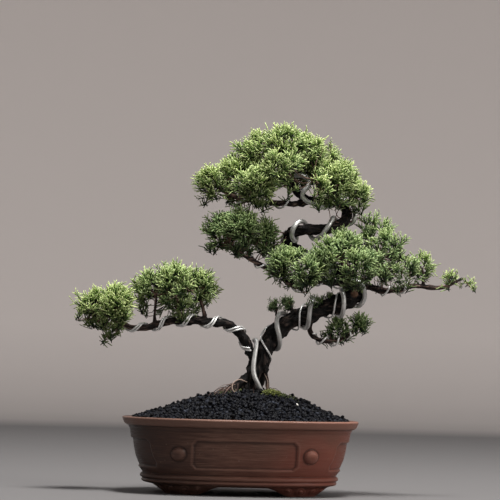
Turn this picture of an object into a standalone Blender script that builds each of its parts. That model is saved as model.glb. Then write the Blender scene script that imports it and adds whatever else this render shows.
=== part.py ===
"""A wired juniper bonsai in an oval clay pot.

Metres, +Z up, the long side of the pot along X and its decorated front facing -Y.
While it is modelled, the origin is the centre of the pot on the surface it stands on.
The last step moves everything so that the origin is the bottom centre of the whole object.
"""

import math

import bmesh
import bpy
import numpy as np
from mathutils import Matrix, Vector

# ---------------------------------------------------------------- driving dimensions

GAP = 0.0003                    # between pieces that touch
MERGE = 0.00001

POT_LENGTH = 0.2004             # over the rim
POT_WIDTH = 0.155               # over the rim
POT_HEIGHT = 0.0634             # rim top above the feet
OVAL_POWER = 2.5                # 2 is an ellipse, more is squarer
POT_STEPS = 44
FOOT_HEIGHT = 0.0082            # underside of the pot above the surface it stands on
FLOOR_THICKNESS = 0.006
WALL_THICKNESS = 0.006
LIP_WIDTH = 0.0085
LIP_HEIGHT = 0.0068
LIP_OVERHANG = 0.0065
FOOT_WALL = 0.007
FLOOR_INSET = 0.022             # the oval is pressed in fully this far inside the rim
FLOOR_CORNER = 0.003            # slope where the inner wall meets the floor
INNER_HEIGHTS = (0.042, 0.028, 0.019)  # where the inner wall follows the outer one

PANEL_DEPTH = 0.0011
PANEL_LOW = 0.0225
PANEL_HIGH = 0.0457
PANEL_CORNER = 0.004
FRONT_PANEL_HALF = 0.0435
END_PANEL_HALF = 0.044
RIVET_PLACE = 0.054             # from the middle of the front
RIVET_RADIUS = 0.0058
RIVET_DEPTH = 0.0026

FRONT_ARCH_FOOT = 0.041         # half-width of the gap between the feet at the ground
FRONT_ARCH_TOP = 0.019
END_ARCH_FOOT = 0.025
END_ARCH_TOP = 0.011
ARCH_HEIGHT = 0.0070

DRAIN_PLACE = 0.045             # drain hole centres from the middle of the pot
DRAIN_RADIUS = 0.0075
MESH_SIDE = 0.026
MESH_THICKNESS = 0.0008
MESH_HOLES = 4
CLIP_WIRE = 0.0010              # diameter
CLIP_REACH = 0.0115

SOIL_BELOW_RIM = 0.0019
SOIL_EDGE = POT_HEIGHT - SOIL_BELOW_RIM  # soil height at the wall
SOIL_PEAK = 0.0862              # soil height round the trunk
MOUND_CENTRE = 0.012            # the mound's peak from the middle of the pot
MOSS_SIZE = (0.0075, 0.0060, 0.0035)
MOSS_PLACE = (0.0240, -0.0175)

THICK_WIRE = 0.0040             # diameters
THIN_WIRE = 0.0016
WIRE_STEPS = 10                 # points for each turn
HOOK_STEP = 0.0045
WIRE_SLACK = 0.0010             # between a faceted branch and the wire's middle line
THIN_SLACK = 0.0007
PAD_ROOM = 0.0009               # between a foliage pad and the wires it is cut for
PAD_REACH = 0.012               # how near a limb passes a pad before the pad is cut for it

# ------------------------------------------------- routes: x, y, z and radius, in metres

TRUNK = [
    (0.0080, 0.000, 0.066, 0.0078), (0.0085, 0.000, 0.084, 0.0082), (0.0105, 0.000, 0.097, 0.0082),
    (0.0132, 0.000, 0.109, 0.0084), (0.0170, 0.001, 0.120, 0.0078), (0.0235, 0.003, 0.131, 0.0074),
    (0.0330, 0.004, 0.141, 0.0073), (0.0450, 0.003, 0.149, 0.0074), (0.0590, 0.001, 0.155, 0.0075),
    (0.0730, -0.001, 0.160, 0.0074), (0.0860, -0.003, 0.165, 0.0071), (0.0955, 0.000, 0.172, 0.0068),
    (0.0970, 0.007, 0.180, 0.0065), (0.0900, 0.014, 0.187, 0.0062), (0.0780, 0.018, 0.192, 0.0060),
    (0.0650, 0.020, 0.199, 0.0057), (0.0520, 0.020, 0.2060, 0.0054), (0.0420, 0.0175, 0.2125, 0.0052),
    (0.0370, 0.0105, 0.2190, 0.0050), (0.0410, 0.0030, 0.2235, 0.0049), (0.0500, -0.0015, 0.2250, 0.0048),
    (0.0620, -0.003, 0.2255, 0.0047),
    (0.0750, -0.003, 0.2280, 0.0046), (0.0850, 0.000, 0.2350, 0.0044), (0.0875, 0.006, 0.2435, 0.0042),
    (0.0820, 0.011, 0.2495, 0.0039), (0.0720, 0.012, 0.2510, 0.0037), (0.0600, 0.010, 0.2510, 0.0035),
    (0.0490, 0.006, 0.2540, 0.0032), (0.0400, 0.002, 0.2620, 0.0028), (0.0350, -0.001, 0.2730, 0.0023),
    (0.0310, -0.002, 0.2850, 0.0018), (0.0280, -0.002, 0.2960, 0.0013),
]

LEFT_BRANCH = [
    (0.0120, 0.000, 0.112, 0.0040), (0.0040, -0.003, 0.127, 0.0042), (-0.0030, -0.005, 0.136, 0.0040),
    (-0.0110, -0.006, 0.142, 0.0038), (-0.0180, -0.007, 0.1445, 0.0036), (-0.0270, -0.008, 0.1435, 0.0034),
    (-0.0380, -0.008, 0.1460, 0.0033), (-0.0490, -0.007, 0.1445, 0.0031), (-0.0590, -0.006, 0.1450, 0.0030),
    (-0.0700, -0.005, 0.1420, 0.0028), (-0.0810, -0.004, 0.1385, 0.0026), (-0.0910, -0.003, 0.1380, 0.0024),
    (-0.1020, -0.002, 0.1410, 0.0021), (-0.1130, 0.000, 0.1470, 0.0018), (-0.1220, 0.002, 0.1540, 0.0014),
]

MIDDLE_LEFT_BRANCH = [
    (0.0960, 0.001, 0.1740, 0.0034), (0.0890, -0.008, 0.1790, 0.0034), (0.0800, -0.011, 0.1805, 0.0033),
    (0.0690, -0.014, 0.1810, 0.0032), (0.0610, -0.016, 0.1820, 0.0031), (0.0520, -0.018, 0.1795, 0.0029),
    (0.0450, -0.019, 0.1765, 0.0028), (0.0380, -0.019, 0.1780, 0.0027), (0.0280, -0.018, 0.1850, 0.0026),
    (0.0160, -0.016, 0.1920, 0.0024), (0.0050, -0.013, 0.1980, 0.0022), (-0.0050, -0.010, 0.2040, 0.0019),
    (-0.0150, -0.007, 0.2120, 0.0015),
]

RIGHT_BRANCH = [
    (0.0970, 0.003, 0.1765, 0.0034), (0.1060, 0.000, 0.1785, 0.0033), (0.1130, -0.004, 0.1765, 0.0031),
    (0.1210, -0.007, 0.1750, 0.0029), (0.1300, -0.008, 0.1760, 0.0027), (0.1380, -0.008, 0.1790, 0.0025),
    (0.1480, -0.007, 0.1800, 0.0023), (0.1600, -0.006, 0.1790, 0.0021), (0.1710, -0.006, 0.1795, 0.0018),
    (0.1790, -0.006, 0.1830, 0.0015), (0.1870, -0.006, 0.1880, 0.0012),
]

LOWER_RIGHT_BRANCH = [
    (0.0600, 0.003, 0.1540, 0.0026), (0.0580, 0.009, 0.1430, 0.0026), (0.0590, 0.010, 0.1370, 0.0024),
    (0.0640, 0.009, 0.1330, 0.0023), (0.0720, 0.008, 0.1310, 0.0022), (0.0800, 0.009, 0.1310, 0.0020),
    (0.0880, 0.010, 0.1340, 0.0018), (0.0950, 0.011, 0.1390, 0.0015), (0.1000, 0.012, 0.1450, 0.0012),
]

MIDDLE_FRONT_BRANCH = [
    (0.0920, 0.011, 0.1860, 0.0030), (0.0900, 0.000, 0.1920, 0.0028), (0.0840, -0.014, 0.1960, 0.0024),
    (0.0790, -0.024, 0.2000, 0.0018),
]

MIDDLE_RIGHT_BRANCH = [
    (0.0960, 0.004, 0.1770, 0.0032), (0.1080, 0.005, 0.1860, 0.0029), (0.1150, 0.002, 0.1950, 0.0025),
    (0.1190, -0.002, 0.2050, 0.0018),
]

CROWN_LEFT_BRANCH = [
    (0.0560, 0.009, 0.2510, 0.0028), (0.0440, 0.005, 0.2480, 0.0029), (0.0330, 0.000, 0.2475, 0.0028),
    (0.0210, -0.003, 0.2475, 0.0026), (0.0080, -0.005, 0.2480, 0.0024), (-0.0060, -0.005, 0.2500, 0.0021),
    (-0.0180, -0.004, 0.2550, 0.0018), (-0.0260, -0.003, 0.2610, 0.0014),
]

CROWN_RIGHT_BRANCH = [
    (0.0720, 0.012, 0.2510, 0.0028), (0.0750, 0.009, 0.2580, 0.0025), (0.0790, 0.001, 0.2640, 0.0020),
    (0.0820, -0.007, 0.2700, 0.0015),
]

CROWN_FRONT_BRANCH = [
    (0.0660, 0.011, 0.2510, 0.0025), (0.0640, 0.003, 0.2560, 0.0022), (0.0610, -0.011, 0.2610, 0.0019),
    (0.0570, -0.022, 0.2670, 0.0015),
]

CROWN_BACK_BRANCH = [
    (0.0440, 0.004, 0.2580, 0.0025), (0.0450, 0.018, 0.2640, 0.0021), (0.0460, 0.030, 0.2720, 0.0015),
]

# Short upright shoots that carry the pads above a limb: foot, middle and tip.
SHOOTS = {
    "left_shoot_near": [
        (-0.0327, -0.0081, 0.1449, 0.0021), (-0.0345, -0.0078, 0.1560, 0.0018), (-0.0400, -0.0070, 0.1700, 0.0013),
    ],
    "left_shoot_middle": [
        (-0.0540, -0.0065, 0.1448, 0.0021), (-0.0550, -0.0030, 0.1550, 0.0018), (-0.0570, 0.0060, 0.1680, 0.0013),
    ],
    "left_shoot_far": [
        (-0.0745, -0.0045, 0.1404, 0.0020), (-0.0755, -0.0060, 0.1520, 0.0017), (-0.0740, -0.0080, 0.1660, 0.0013),
    ],
    "right_shoot": [
        (0.1534, -0.0065, 0.1797, 0.0017), (0.1530, -0.0068, 0.1880, 0.0015), (0.1515, -0.0070, 0.1960, 0.0012),
    ],
    "trunk_shoot_low": [
        (0.0320, 0.0040, 0.1420, 0.0020), (0.0290, 0.0060, 0.1530, 0.0014), (0.0280, 0.0060, 0.1600, 0.0011),
    ],
    "trunk_shoot_high": [
        (0.0460, 0.0035, 0.1500, 0.0020), (0.0420, 0.0055, 0.1580, 0.0014), (0.0390, 0.0060, 0.1640, 0.0011),
    ],
}

LEFT_ROOT = [
    (0.0090, 0.000, 0.1030, 0.0050), (0.0020, -0.003, 0.0960, 0.0046), (-0.0060, -0.006, 0.0890, 0.0040),
    (-0.0140, -0.008, 0.0800, 0.0030),
]

RIGHT_ROOT = [
    (0.0165, -0.003, 0.1130, 0.0020), (0.0203, -0.006, 0.1040, 0.0018), (0.0212, -0.007, 0.0960, 0.0018),
    (0.0222, -0.008, 0.0860, 0.0018), (0.0235, -0.009, 0.0760, 0.0016),
]

BACK_ROOT = [
    (0.0100, 0.002, 0.1000, 0.0050), (0.0120, 0.009, 0.0930, 0.0045), (0.0130, 0.016, 0.0820, 0.0034),
]

PRUNED_STUB = [
    (0.0940, -0.001, 0.1700, 0.0032), (0.0945, -0.0050, 0.1715, 0.0031), (0.0950, -0.0085, 0.1725, 0.0030),
]

WOOD_BRANCHES = {
    "left_branch": LEFT_BRANCH,
    "middle_left_branch": MIDDLE_LEFT_BRANCH,
    "right_branch": RIGHT_BRANCH,
    "lower_right_branch": LOWER_RIGHT_BRANCH,
    "middle_front_branch": MIDDLE_FRONT_BRANCH,
    "middle_right_branch": MIDDLE_RIGHT_BRANCH,
    "crown_left_branch": CROWN_LEFT_BRANCH,
    "crown_right_branch": CROWN_RIGHT_BRANCH,
    "crown_front_branch": CROWN_FRONT_BRANCH,
    "crown_back_branch": CROWN_BACK_BRANCH,
    "left_root": LEFT_ROOT,
    "right_root": RIGHT_ROOT,
    "back_root": BACK_ROOT,
    "pruned_stub": PRUNED_STUB,
    **SHOOTS,
}
ROOTS = ("left_root", "right_root", "back_root")
TRUNK_STEP = 0.0056             # between rings
BRANCH_STEP = 0.0075

# Foliage pads as lumps: x, y, z of the middle, then half the width, depth and height.
FOLIAGE = {
    "foliage_crown_left": [
        (-0.029, -0.004, 0.267, 0.017, 0.016, 0.014), (-0.009, 0.006, 0.272, 0.021, 0.021, 0.020),
        (0.008, -0.018, 0.266, 0.020, 0.018, 0.017), (0.001, 0.028, 0.276, 0.019, 0.017, 0.017),
    ],
    "foliage_crown_top": [
        (0.012, 0.002, 0.294, 0.021, 0.020, 0.019), (0.031, -0.008, 0.297, 0.022, 0.021, 0.021),
        (0.051, 0.004, 0.293, 0.020, 0.020, 0.020), (0.029, -0.026, 0.278, 0.022, 0.018, 0.018),
        (0.048, 0.028, 0.284, 0.022, 0.018, 0.019),
    ],
    "foliage_crown_right": [
        (0.067, 0.002, 0.287, 0.016, 0.018, 0.017), (0.076, -0.014, 0.270, 0.020, 0.019, 0.019),
        (0.094, -0.006, 0.261, 0.013, 0.014, 0.013), (0.055, -0.030, 0.264, 0.017, 0.015, 0.013),
        (0.078, 0.024, 0.278, 0.019, 0.017, 0.018),
    ],
    "foliage_middle_left": [
        (-0.022, -0.004, 0.226, 0.014, 0.014, 0.016), (-0.004, -0.012, 0.227, 0.020, 0.018, 0.019),
        (0.015, -0.006, 0.222, 0.016, 0.016, 0.015), (-0.004, 0.014, 0.225, 0.017, 0.016, 0.015),
    ],
    "foliage_middle_center": [
        (0.034, -0.024, 0.199, 0.019, 0.017, 0.016), (0.051, -0.036, 0.195, 0.016, 0.015, 0.013),
    ],
    "foliage_middle_front": [
        (0.074, -0.032, 0.205, 0.022, 0.018, 0.019), (0.092, -0.038, 0.198, 0.021, 0.017, 0.018),
        (0.084, -0.020, 0.217, 0.018, 0.016, 0.013),
    ],
    "foliage_middle_right": [
        (0.113, 0.002, 0.228, 0.018, 0.017, 0.018), (0.121, -0.016, 0.211, 0.020, 0.018, 0.019),
        (0.128, -0.026, 0.196, 0.022, 0.016, 0.013), (0.122, 0.016, 0.203, 0.020, 0.018, 0.017),
    ],
    "foliage_right": [
        (0.151, -0.007, 0.200, 0.015, 0.014, 0.014),
    ],
    "foliage_right_tip": [
        (0.176, -0.006, 0.189, 0.011, 0.010, 0.007), (0.189, -0.006, 0.186, 0.010, 0.008, 0.006),
    ],
    "foliage_left_outer": [
        (-0.127, -0.002, 0.160, 0.016, 0.015, 0.014), (-0.109, -0.012, 0.162, 0.016, 0.016, 0.017),
        (-0.112, 0.004, 0.146, 0.017, 0.015, 0.012), (-0.112, 0.019, 0.158, 0.015, 0.014, 0.014),
    ],
    "foliage_left_inner": [
        (-0.080, -0.006, 0.176, 0.016, 0.015, 0.017), (-0.060, -0.016, 0.180, 0.019, 0.017, 0.018),
        (-0.038, -0.004, 0.178, 0.018, 0.017, 0.017), (-0.056, 0.017, 0.178, 0.019, 0.016, 0.016),
        (-0.056, -0.002, 0.164, 0.024, 0.019, 0.011),
    ],
    "foliage_lower_right": [
        (0.086, 0.013, 0.146, 0.014, 0.012, 0.010), (0.101, 0.010, 0.150, 0.010, 0.010, 0.009),
        (0.079, 0.017, 0.141, 0.010, 0.010, 0.007),
    ],
    "foliage_trunk_sprigs": [
        (0.028, 0.006, 0.161, 0.008, 0.007, 0.007), (0.038, 0.006, 0.164, 0.008, 0.007, 0.007),
    ],
}

# Where the wires on the trunk pass: distance along the trunk, then turns made since the front.
THICK_TRUNK_TURNS = [
    (0.012, -0.26), (0.018, -0.18), (0.030, -0.02), (0.042, 0.065), (0.047, 0.085), (0.0535, 0.095),
    (0.0585, 0.13), (0.061, 0.25), (0.0635, 0.50), (0.0665, 0.75),
    (0.077, 1.00), (0.088, 1.25), (0.095, 1.50), (0.102, 1.75), (0.110, 2.00), (0.118, 2.25),
    (0.127, 2.50), (0.1345, 2.75), (0.140, 3.00), (0.1437, 3.25), (0.1472, 3.50), (0.1505, 3.75),
    (0.158, 4.00), (0.172, 4.50), (0.190, 5.00), (0.218, 6.00), (0.2535, 6.85), (0.257, 7.00),
    (0.261, 7.20), (0.267, 7.50), (0.273, 7.75), (0.282, 8.00), (0.293, 8.25), (0.300, 8.50),
    (0.307, 8.78), (0.321, 8.95), (0.330, 9.05), (0.336, 9.16),
]
# The thick wire's end leaves the trunk and hooks round the foot of the crown.
THICK_WIRE_HOOK = [
    (0.0590, 0.000, 0.2475), (0.0520, -0.003, 0.2500), (0.0475, -0.006, 0.2545), (0.0495, -0.0085, 0.2590),
    (0.0530, -0.0080, 0.2640), (0.0520, -0.0045, 0.2690), (0.0465, -0.001, 0.2718), (0.0420, 0.003, 0.2720),
]
THIN_TRUNK_TURNS = [
    (0.050, 0.66), (0.053, 0.79), (0.0575, 0.96), (0.062, 1.10), (0.0665, 1.20), (0.072, 1.26),
    (0.077, 1.30), (0.088, 1.55), (0.095, 1.80), (0.102, 2.05), (0.110, 2.30), (0.118, 2.55),
    (0.127, 2.80), (0.1345, 3.05), (0.140, 3.30), (0.1437, 3.55), (0.1470, 3.80),
]

# ------------------------------------------------------------------- clean start

for old_object in list(bpy.data.objects):
    bpy.data.objects.remove(old_object, do_unlink=True)


def new_collection(name):
    collection = bpy.data.collections.new(name)
    bpy.context.scene.collection.children.link(collection)
    return collection


PARTS = new_collection("bonsai_tree_in_pot")
CUTTERS = new_collection("cutters")


def finish_material(name, colour, roughness, metallic=0.0):
    material = bpy.data.materials.new(name)
    material.use_nodes = True
    shader = material.node_tree.nodes["Principled BSDF"]
    shader.inputs["Base Color"].default_value = (*colour, 1.0)
    shader.inputs["Roughness"].default_value = roughness
    shader.inputs["Metallic"].default_value = metallic
    return material


def fired_clay():
    return finish_material("fired_clay", (0.115, 0.052, 0.036), 0.75)


def plastic_net():
    return finish_material("plastic_net", (0.020, 0.020, 0.022), 0.55)


def granular_soil():
    return finish_material("granular_soil", (0.018, 0.020, 0.028), 0.95)


def green_moss():
    return finish_material("green_moss", (0.130, 0.160, 0.030), 0.95)


def juniper_bark():
    return finish_material("juniper_bark", (0.035, 0.024, 0.020), 0.90)


def aluminium_wire():
    return finish_material("aluminium_wire", (0.55, 0.55, 0.54), 0.40, metallic=1.0)


def juniper_foliage():
    return finish_material("juniper_foliage", (0.120, 0.200, 0.050), 0.70)


# ------------------------------------------------------------------ shape helpers

def place(obj, material):
    """Put a finished piece in the part's collection with its material."""
    PARTS.objects.link(obj)
    obj.data.materials.append(material)
    return obj


def keep_as_cutter(obj):
    CUTTERS.objects.link(obj)
    obj.hide_render = True
    obj.display_type = "WIRE"
    return obj


def mesh_object(name, bm):
    """A new object from a finished bmesh, with its faces pointing out."""
    bmesh.ops.recalc_face_normals(bm, faces=bm.faces)
    if bm.calc_volume(signed=True) < 0:
        bmesh.ops.reverse_faces(bm, faces=bm.faces)
    mesh = bpy.data.meshes.new(name)
    bm.to_mesh(mesh)
    bm.free()
    return bpy.data.objects.new(name, mesh)


def boolean(target, other, operation):
    modifier = target.modifiers.new(f"{operation.lower()}_{other.name}", "BOOLEAN")
    modifier.operation = operation
    modifier.object = other
    modifier.solver = "EXACT"


def smooth_route(points, step):
    """Read evenly spaced points from one smooth curve through the given ones (Catmull-Rom)."""
    given = np.array(points)
    ends = np.vstack([2 * given[0] - given[1], given, 2 * given[-1] - given[-2]])
    fine = []
    for before, start, end, after in zip(ends, ends[1:], ends[2:], ends[3:]):
        for t in np.linspace(0, 1, 16, endpoint=False):
            fine.append(0.5 * (
                2 * start
                + (end - before) * t
                + (2 * before - 5 * start + 4 * end - after) * t**2
                + (3 * start - before - 3 * end + after) * t**3
            ))
    fine = np.array(fine + [given[-1]])
    along = np.concatenate([[0], np.cumsum(np.linalg.norm(np.diff(fine[:, :3], axis=0), axis=1))])
    count = max(2, round(along[-1] / step))
    stations = np.linspace(0, along[-1], count + 1)
    return np.column_stack([np.interp(stations, along, column) for column in fine.T])


def tube_curve(name, route, grow=0.0, rounding=2):
    """A tube through the route's points, as a curve; grow makes a cutter that leaves room."""
    curve = bpy.data.curves.new(name, "CURVE")
    curve.dimensions = "3D"
    curve.bevel_depth = 1.0
    curve.bevel_resolution = rounding
    curve.use_fill_caps = True
    spline = curve.splines.new("POLY")
    spline.points.add(len(route) - 1)
    for point, (x, y, z, radius) in zip(spline.points, route):
        point.co = (x, y, z, 1)
        point.radius = radius + grow
    return bpy.data.objects.new(name, curve)


def tube_mesh(name, route, grow=0.0, rounding=2):
    """The same tube as a closed mesh, for cuts and joins."""
    tube = tube_curve(name, route, grow, rounding)
    bpy.context.scene.collection.objects.link(tube)
    seen = tube.evaluated_get(bpy.context.evaluated_depsgraph_get())
    mesh = bpy.data.meshes.new_from_object(seen)
    bpy.data.objects.remove(tube, do_unlink=True)
    bm = bmesh.new()
    bm.from_mesh(mesh)
    bpy.data.meshes.remove(mesh)
    bmesh.ops.remove_doubles(bm, verts=bm.verts, dist=MERGE)
    return mesh_object(name, bm)


def smooth_shade(obj, degrees=40):
    obj.data.shade_smooth()
    obj.data.set_sharp_from_angle(angle=math.radians(degrees))


# ------------------------------------------------------------------------ the pot

def oval_half_sizes(radius):
    """Half the length and half the width of the oval ring that a turned ring becomes."""
    narrower = (POT_LENGTH - POT_WIDTH) / 2
    floor_edge = POT_LENGTH / 2 - FLOOR_INSET
    return radius, radius - narrower * min(1.0, radius / floor_edge)


def oval_point(radius, angle, z):
    length, width = oval_half_sizes(radius)
    c, s = math.cos(angle), math.sin(angle)
    power = 2 / OVAL_POWER
    x = length * math.copysign(abs(c) ** power, c)
    y = width * math.copysign(abs(s) ** power, s)
    return Vector((x, y, z))


def turned_oval(name, profile):
    """Spin a profile of (radius, z) about Z, then press the round shape into the pot's oval."""
    bm = bmesh.new()
    verts = [bm.verts.new((radius, 0, z)) for radius, z in profile]
    edges = [bm.edges.new(pair) for pair in zip(verts, verts[1:])]
    bmesh.ops.spin(
        bm, geom=verts + edges, cent=(0, 0, 0), axis=(0, 0, 1),
        angle=math.tau, steps=POT_STEPS, use_merge=True,
    )
    bmesh.ops.remove_doubles(bm, verts=bm.verts, dist=MERGE)
    for vert in bm.verts:
        radius = math.hypot(vert.co.x, vert.co.y)
        angle = math.atan2(vert.co.y, vert.co.x)
        vert.co = oval_point(radius, angle, vert.co.z)
    return mesh_object(name, bm)


RIM_RADIUS = POT_LENGTH / 2
WALL_TOP = RIM_RADIUS - LIP_OVERHANG
LIP_BOTTOM = POT_HEIGHT - LIP_HEIGHT
FLOOR_TOP = FOOT_HEIGHT + FLOOR_THICKNESS

# The outer wall below the lip: how far inside the wall's top it runs, at each height.
WALL_SHAPE = [
    (0.0532, 0.0004), (0.0500, 0.0008), (0.0460, 0.0016), (0.0380, 0.0026), (0.0310, 0.0042),
    (0.0250, 0.0066), (0.0205, 0.0094), (0.0172, 0.0118),
]
MOULDING_SHAPE = [
    (0.0162, 0.0108), (0.0143, 0.0102), (0.0126, 0.0110), (0.0120, 0.0122), (0.0112, 0.0113),
    (0.0100, 0.0116), (0.0088, 0.0134), (0.0083, 0.0170),
]
FOOT_TOP = WALL_TOP - 0.0178
FOOT_BOTTOM = WALL_TOP - 0.0262


def wall_radius(z):
    heights = [z_there for z_there, _ in reversed(WALL_SHAPE)]
    insets = [inset for _, inset in reversed(WALL_SHAPE)]
    return WALL_TOP - float(np.interp(z, heights, insets))


def inner_radius(z):
    return wall_radius(max(z, WALL_SHAPE[-1][0])) - WALL_THICKNESS


def pot_profile():
    inside_corner = inner_radius(FLOOR_TOP) - FLOOR_CORNER
    profile = [
        (0.0, FLOOR_TOP), (inside_corner, FLOOR_TOP),
        *((inner_radius(z), z) for z in reversed(INNER_HEIGHTS)),
        (RIM_RADIUS - LIP_WIDTH, LIP_BOTTOM), (RIM_RADIUS - LIP_WIDTH, POT_HEIGHT - 0.0008),
        (RIM_RADIUS - LIP_WIDTH + 0.001, POT_HEIGHT), (RIM_RADIUS - 0.0012, POT_HEIGHT),
        (RIM_RADIUS, POT_HEIGHT - 0.0012), (RIM_RADIUS - 0.0022, LIP_BOTTOM + 0.001),
        (RIM_RADIUS - 0.0036, LIP_BOTTOM), (WALL_TOP + 0.0008, LIP_BOTTOM - 0.0012),
    ]
    profile += [(WALL_TOP - inset, z) for z, inset in WALL_SHAPE + MOULDING_SHAPE]
    foot_inside = FOOT_BOTTOM - FOOT_WALL
    profile += [
        (FOOT_TOP, FOOT_HEIGHT - 0.0004), (FOOT_TOP - 0.0022, 0.0052), (FOOT_BOTTOM + 0.0012, 0.0012),
        (FOOT_BOTTOM, 0.0), (foot_inside, 0.0), (foot_inside + 0.001, FOOT_HEIGHT), (0.0, FOOT_HEIGHT),
    ]
    return profile


def panel_cutter(name, half_size, on_end, side):
    """A slab bent round the wall that sinks a panel into it, with cut corners."""
    columns = 12 if on_end else 10
    bm = bmesh.new()
    bmesh.ops.create_grid(bm, x_segments=columns, y_segments=3, size=1.0)
    outer = bmesh.ops.extrude_face_region(bm, geom=list(bm.faces))["geom"]
    outer_verts = {element for element in outer if isinstance(element, bmesh.types.BMVert)}
    middle = (PANEL_LOW + PANEL_HIGH) / 2
    tall = (PANEL_HIGH - PANEL_LOW) / 2
    for vert in bm.verts:
        across = vert.co.x * half_size
        past_corner = max(0.0, abs(across) - (half_size - PANEL_CORNER))
        z = middle + vert.co.y * (tall - past_corner)
        depth = 0.004 if vert in outer_verts else -PANEL_DEPTH
        length, width = oval_half_sizes(wall_radius(z))
        length, width = length + depth, width + depth
        if on_end:
            rest = (1 - (abs(across) / width) ** OVAL_POWER) ** (1 / OVAL_POWER)
            vert.co = (side * length * rest, across, z)
        else:
            rest = (1 - (abs(across) / length) ** OVAL_POWER) ** (1 / OVAL_POWER)
            vert.co = (across, side * width * rest, z)
    return keep_as_cutter(mesh_object(name, bm))


def rivet(name, x, side):
    """A low round boss of clay on the wall."""
    z = (PANEL_LOW + PANEL_HIGH) / 2
    length, width = oval_half_sizes(wall_radius(z))
    y = side * width * (1 - (abs(x) / length) ** OVAL_POWER) ** (1 / OVAL_POWER)
    outwards = Vector((
        math.copysign((abs(x) / length) ** (OVAL_POWER - 1) / length, x),
        math.copysign((abs(y) / width) ** (OVAL_POWER - 1) / width, y),
        0.0,
    )).normalized()
    turn = outwards.to_track_quat("Z", "Y").to_matrix().to_4x4()
    size = Matrix.Diagonal((RIVET_RADIUS, RIVET_RADIUS, RIVET_DEPTH, 1))
    bm = bmesh.new()
    bmesh.ops.create_uvsphere(bm, u_segments=14, v_segments=8, radius=1.0)
    bmesh.ops.transform(bm, matrix=Matrix.Translation((x, y, z)) @ turn @ size, verts=bm.verts)
    return keep_as_cutter(mesh_object(name, bm))


def arch_cutter(name, half_foot, half_top, along_x):
    """The cloud-shaped gap between two feet, right through the foot ring."""
    rise = [(t, 0.5 - 0.5 * math.cos(math.pi * t)) for t in np.linspace(0, 1, 7)]
    left_side = [(-half_foot + t * (half_foot - half_top), ARCH_HEIGHT * s) for t, s in rise]
    right_side = [(-x, z) for x, z in reversed(left_side)]
    outline = [(-half_foot, -0.004)] + left_side + right_side + [(half_foot, -0.004)]
    far = POT_LENGTH
    bm = bmesh.new()
    verts = [bm.verts.new((x, -far, z)) for x, z in outline]
    face = bm.faces.new(verts)
    pushed = bmesh.ops.extrude_face_region(bm, geom=[face])["geom"]
    moved = [element for element in pushed if isinstance(element, bmesh.types.BMVert)]
    bmesh.ops.translate(bm, verts=moved, vec=(0, 2 * far, 0))
    if along_x:
        bmesh.ops.rotate(bm, verts=bm.verts, cent=(0, 0, 0), matrix=Matrix.Rotation(math.pi / 2, 3, "Z"))
    return keep_as_cutter(mesh_object(name, bm))


def round_cutter(name, x, radius, low, high):
    bm = bmesh.new()
    bmesh.ops.create_cone(
        bm, cap_ends=True, segments=20, radius1=radius, radius2=radius, depth=high - low,
        matrix=Matrix.Translation((x, 0, (low + high) / 2)),
    )
    return keep_as_cutter(mesh_object(name, bm))


def make_pot():
    pot = place(turned_oval("pot", pot_profile()), fired_clay())
    for side, word in ((-1, "front"), (1, "back")):
        boolean(pot, panel_cutter(f"cut_{word}_panel", FRONT_PANEL_HALF, False, side), "DIFFERENCE")
        for x in (-RIVET_PLACE, RIVET_PLACE):
            hand = "left" if x < 0 else "right"
            boolean(pot, rivet(f"join_{word}_{hand}_rivet", x, side), "UNION")
    for side, word in ((-1, "left"), (1, "right")):
        boolean(pot, panel_cutter(f"cut_{word}_end_panel", END_PANEL_HALF, True, side), "DIFFERENCE")
        hole = round_cutter(f"cut_{word}_drain", side * DRAIN_PLACE, DRAIN_RADIUS, 0.004, FLOOR_TOP + 0.004)
        boolean(pot, hole, "DIFFERENCE")
    boolean(pot, arch_cutter("cut_front_arch", FRONT_ARCH_FOOT, FRONT_ARCH_TOP, False), "DIFFERENCE")
    boolean(pot, arch_cutter("cut_end_arch", END_ARCH_FOOT, END_ARCH_TOP, True), "DIFFERENCE")
    smooth_shade(pot, 30)


# ------------------------------------------------------ drain nets and their clips

MESH_UNDERSIDE = FLOOR_TOP + GAP
MESH_TOP = MESH_UNDERSIDE + MESH_THICKNESS
CLIP_TOP = MESH_TOP + GAP + CLIP_WIRE


def make_drain_net(name, x):
    """A square of plastic net: a grid with every second cell left open, thickened."""
    cells = 2 * MESH_HOLES + 1
    bm = bmesh.new()
    bmesh.ops.create_grid(bm, x_segments=cells, y_segments=cells, size=MESH_SIDE / 2)
    bar = 0.35 * MESH_SIDE / cells
    pitch = MESH_SIDE / cells

    def widen(value):
        index = round((value + MESH_SIDE / 2) / pitch)
        inside = 0 < index < cells
        return value + ((-bar if index % 2 else bar) * 0.5 if inside else 0.0)

    open_cells = []
    for face in bm.faces:
        centre = face.calc_center_median()
        column = int((centre.x + MESH_SIDE / 2) / pitch)
        row = int((centre.y + MESH_SIDE / 2) / pitch)
        if column % 2 and row % 2:
            open_cells.append(face)
    bmesh.ops.delete(bm, geom=open_cells, context="FACES_ONLY")
    for vert in bm.verts:
        vert.co = (x + widen(vert.co.x), widen(vert.co.y), MESH_UNDERSIDE)
    net = place(mesh_object(name, bm), plastic_net())
    thick = net.modifiers.new("thickness", "SOLIDIFY")
    thick.thickness = MESH_THICKNESS
    thick.offset = 1.0
    thick.use_even_offset = True


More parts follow.
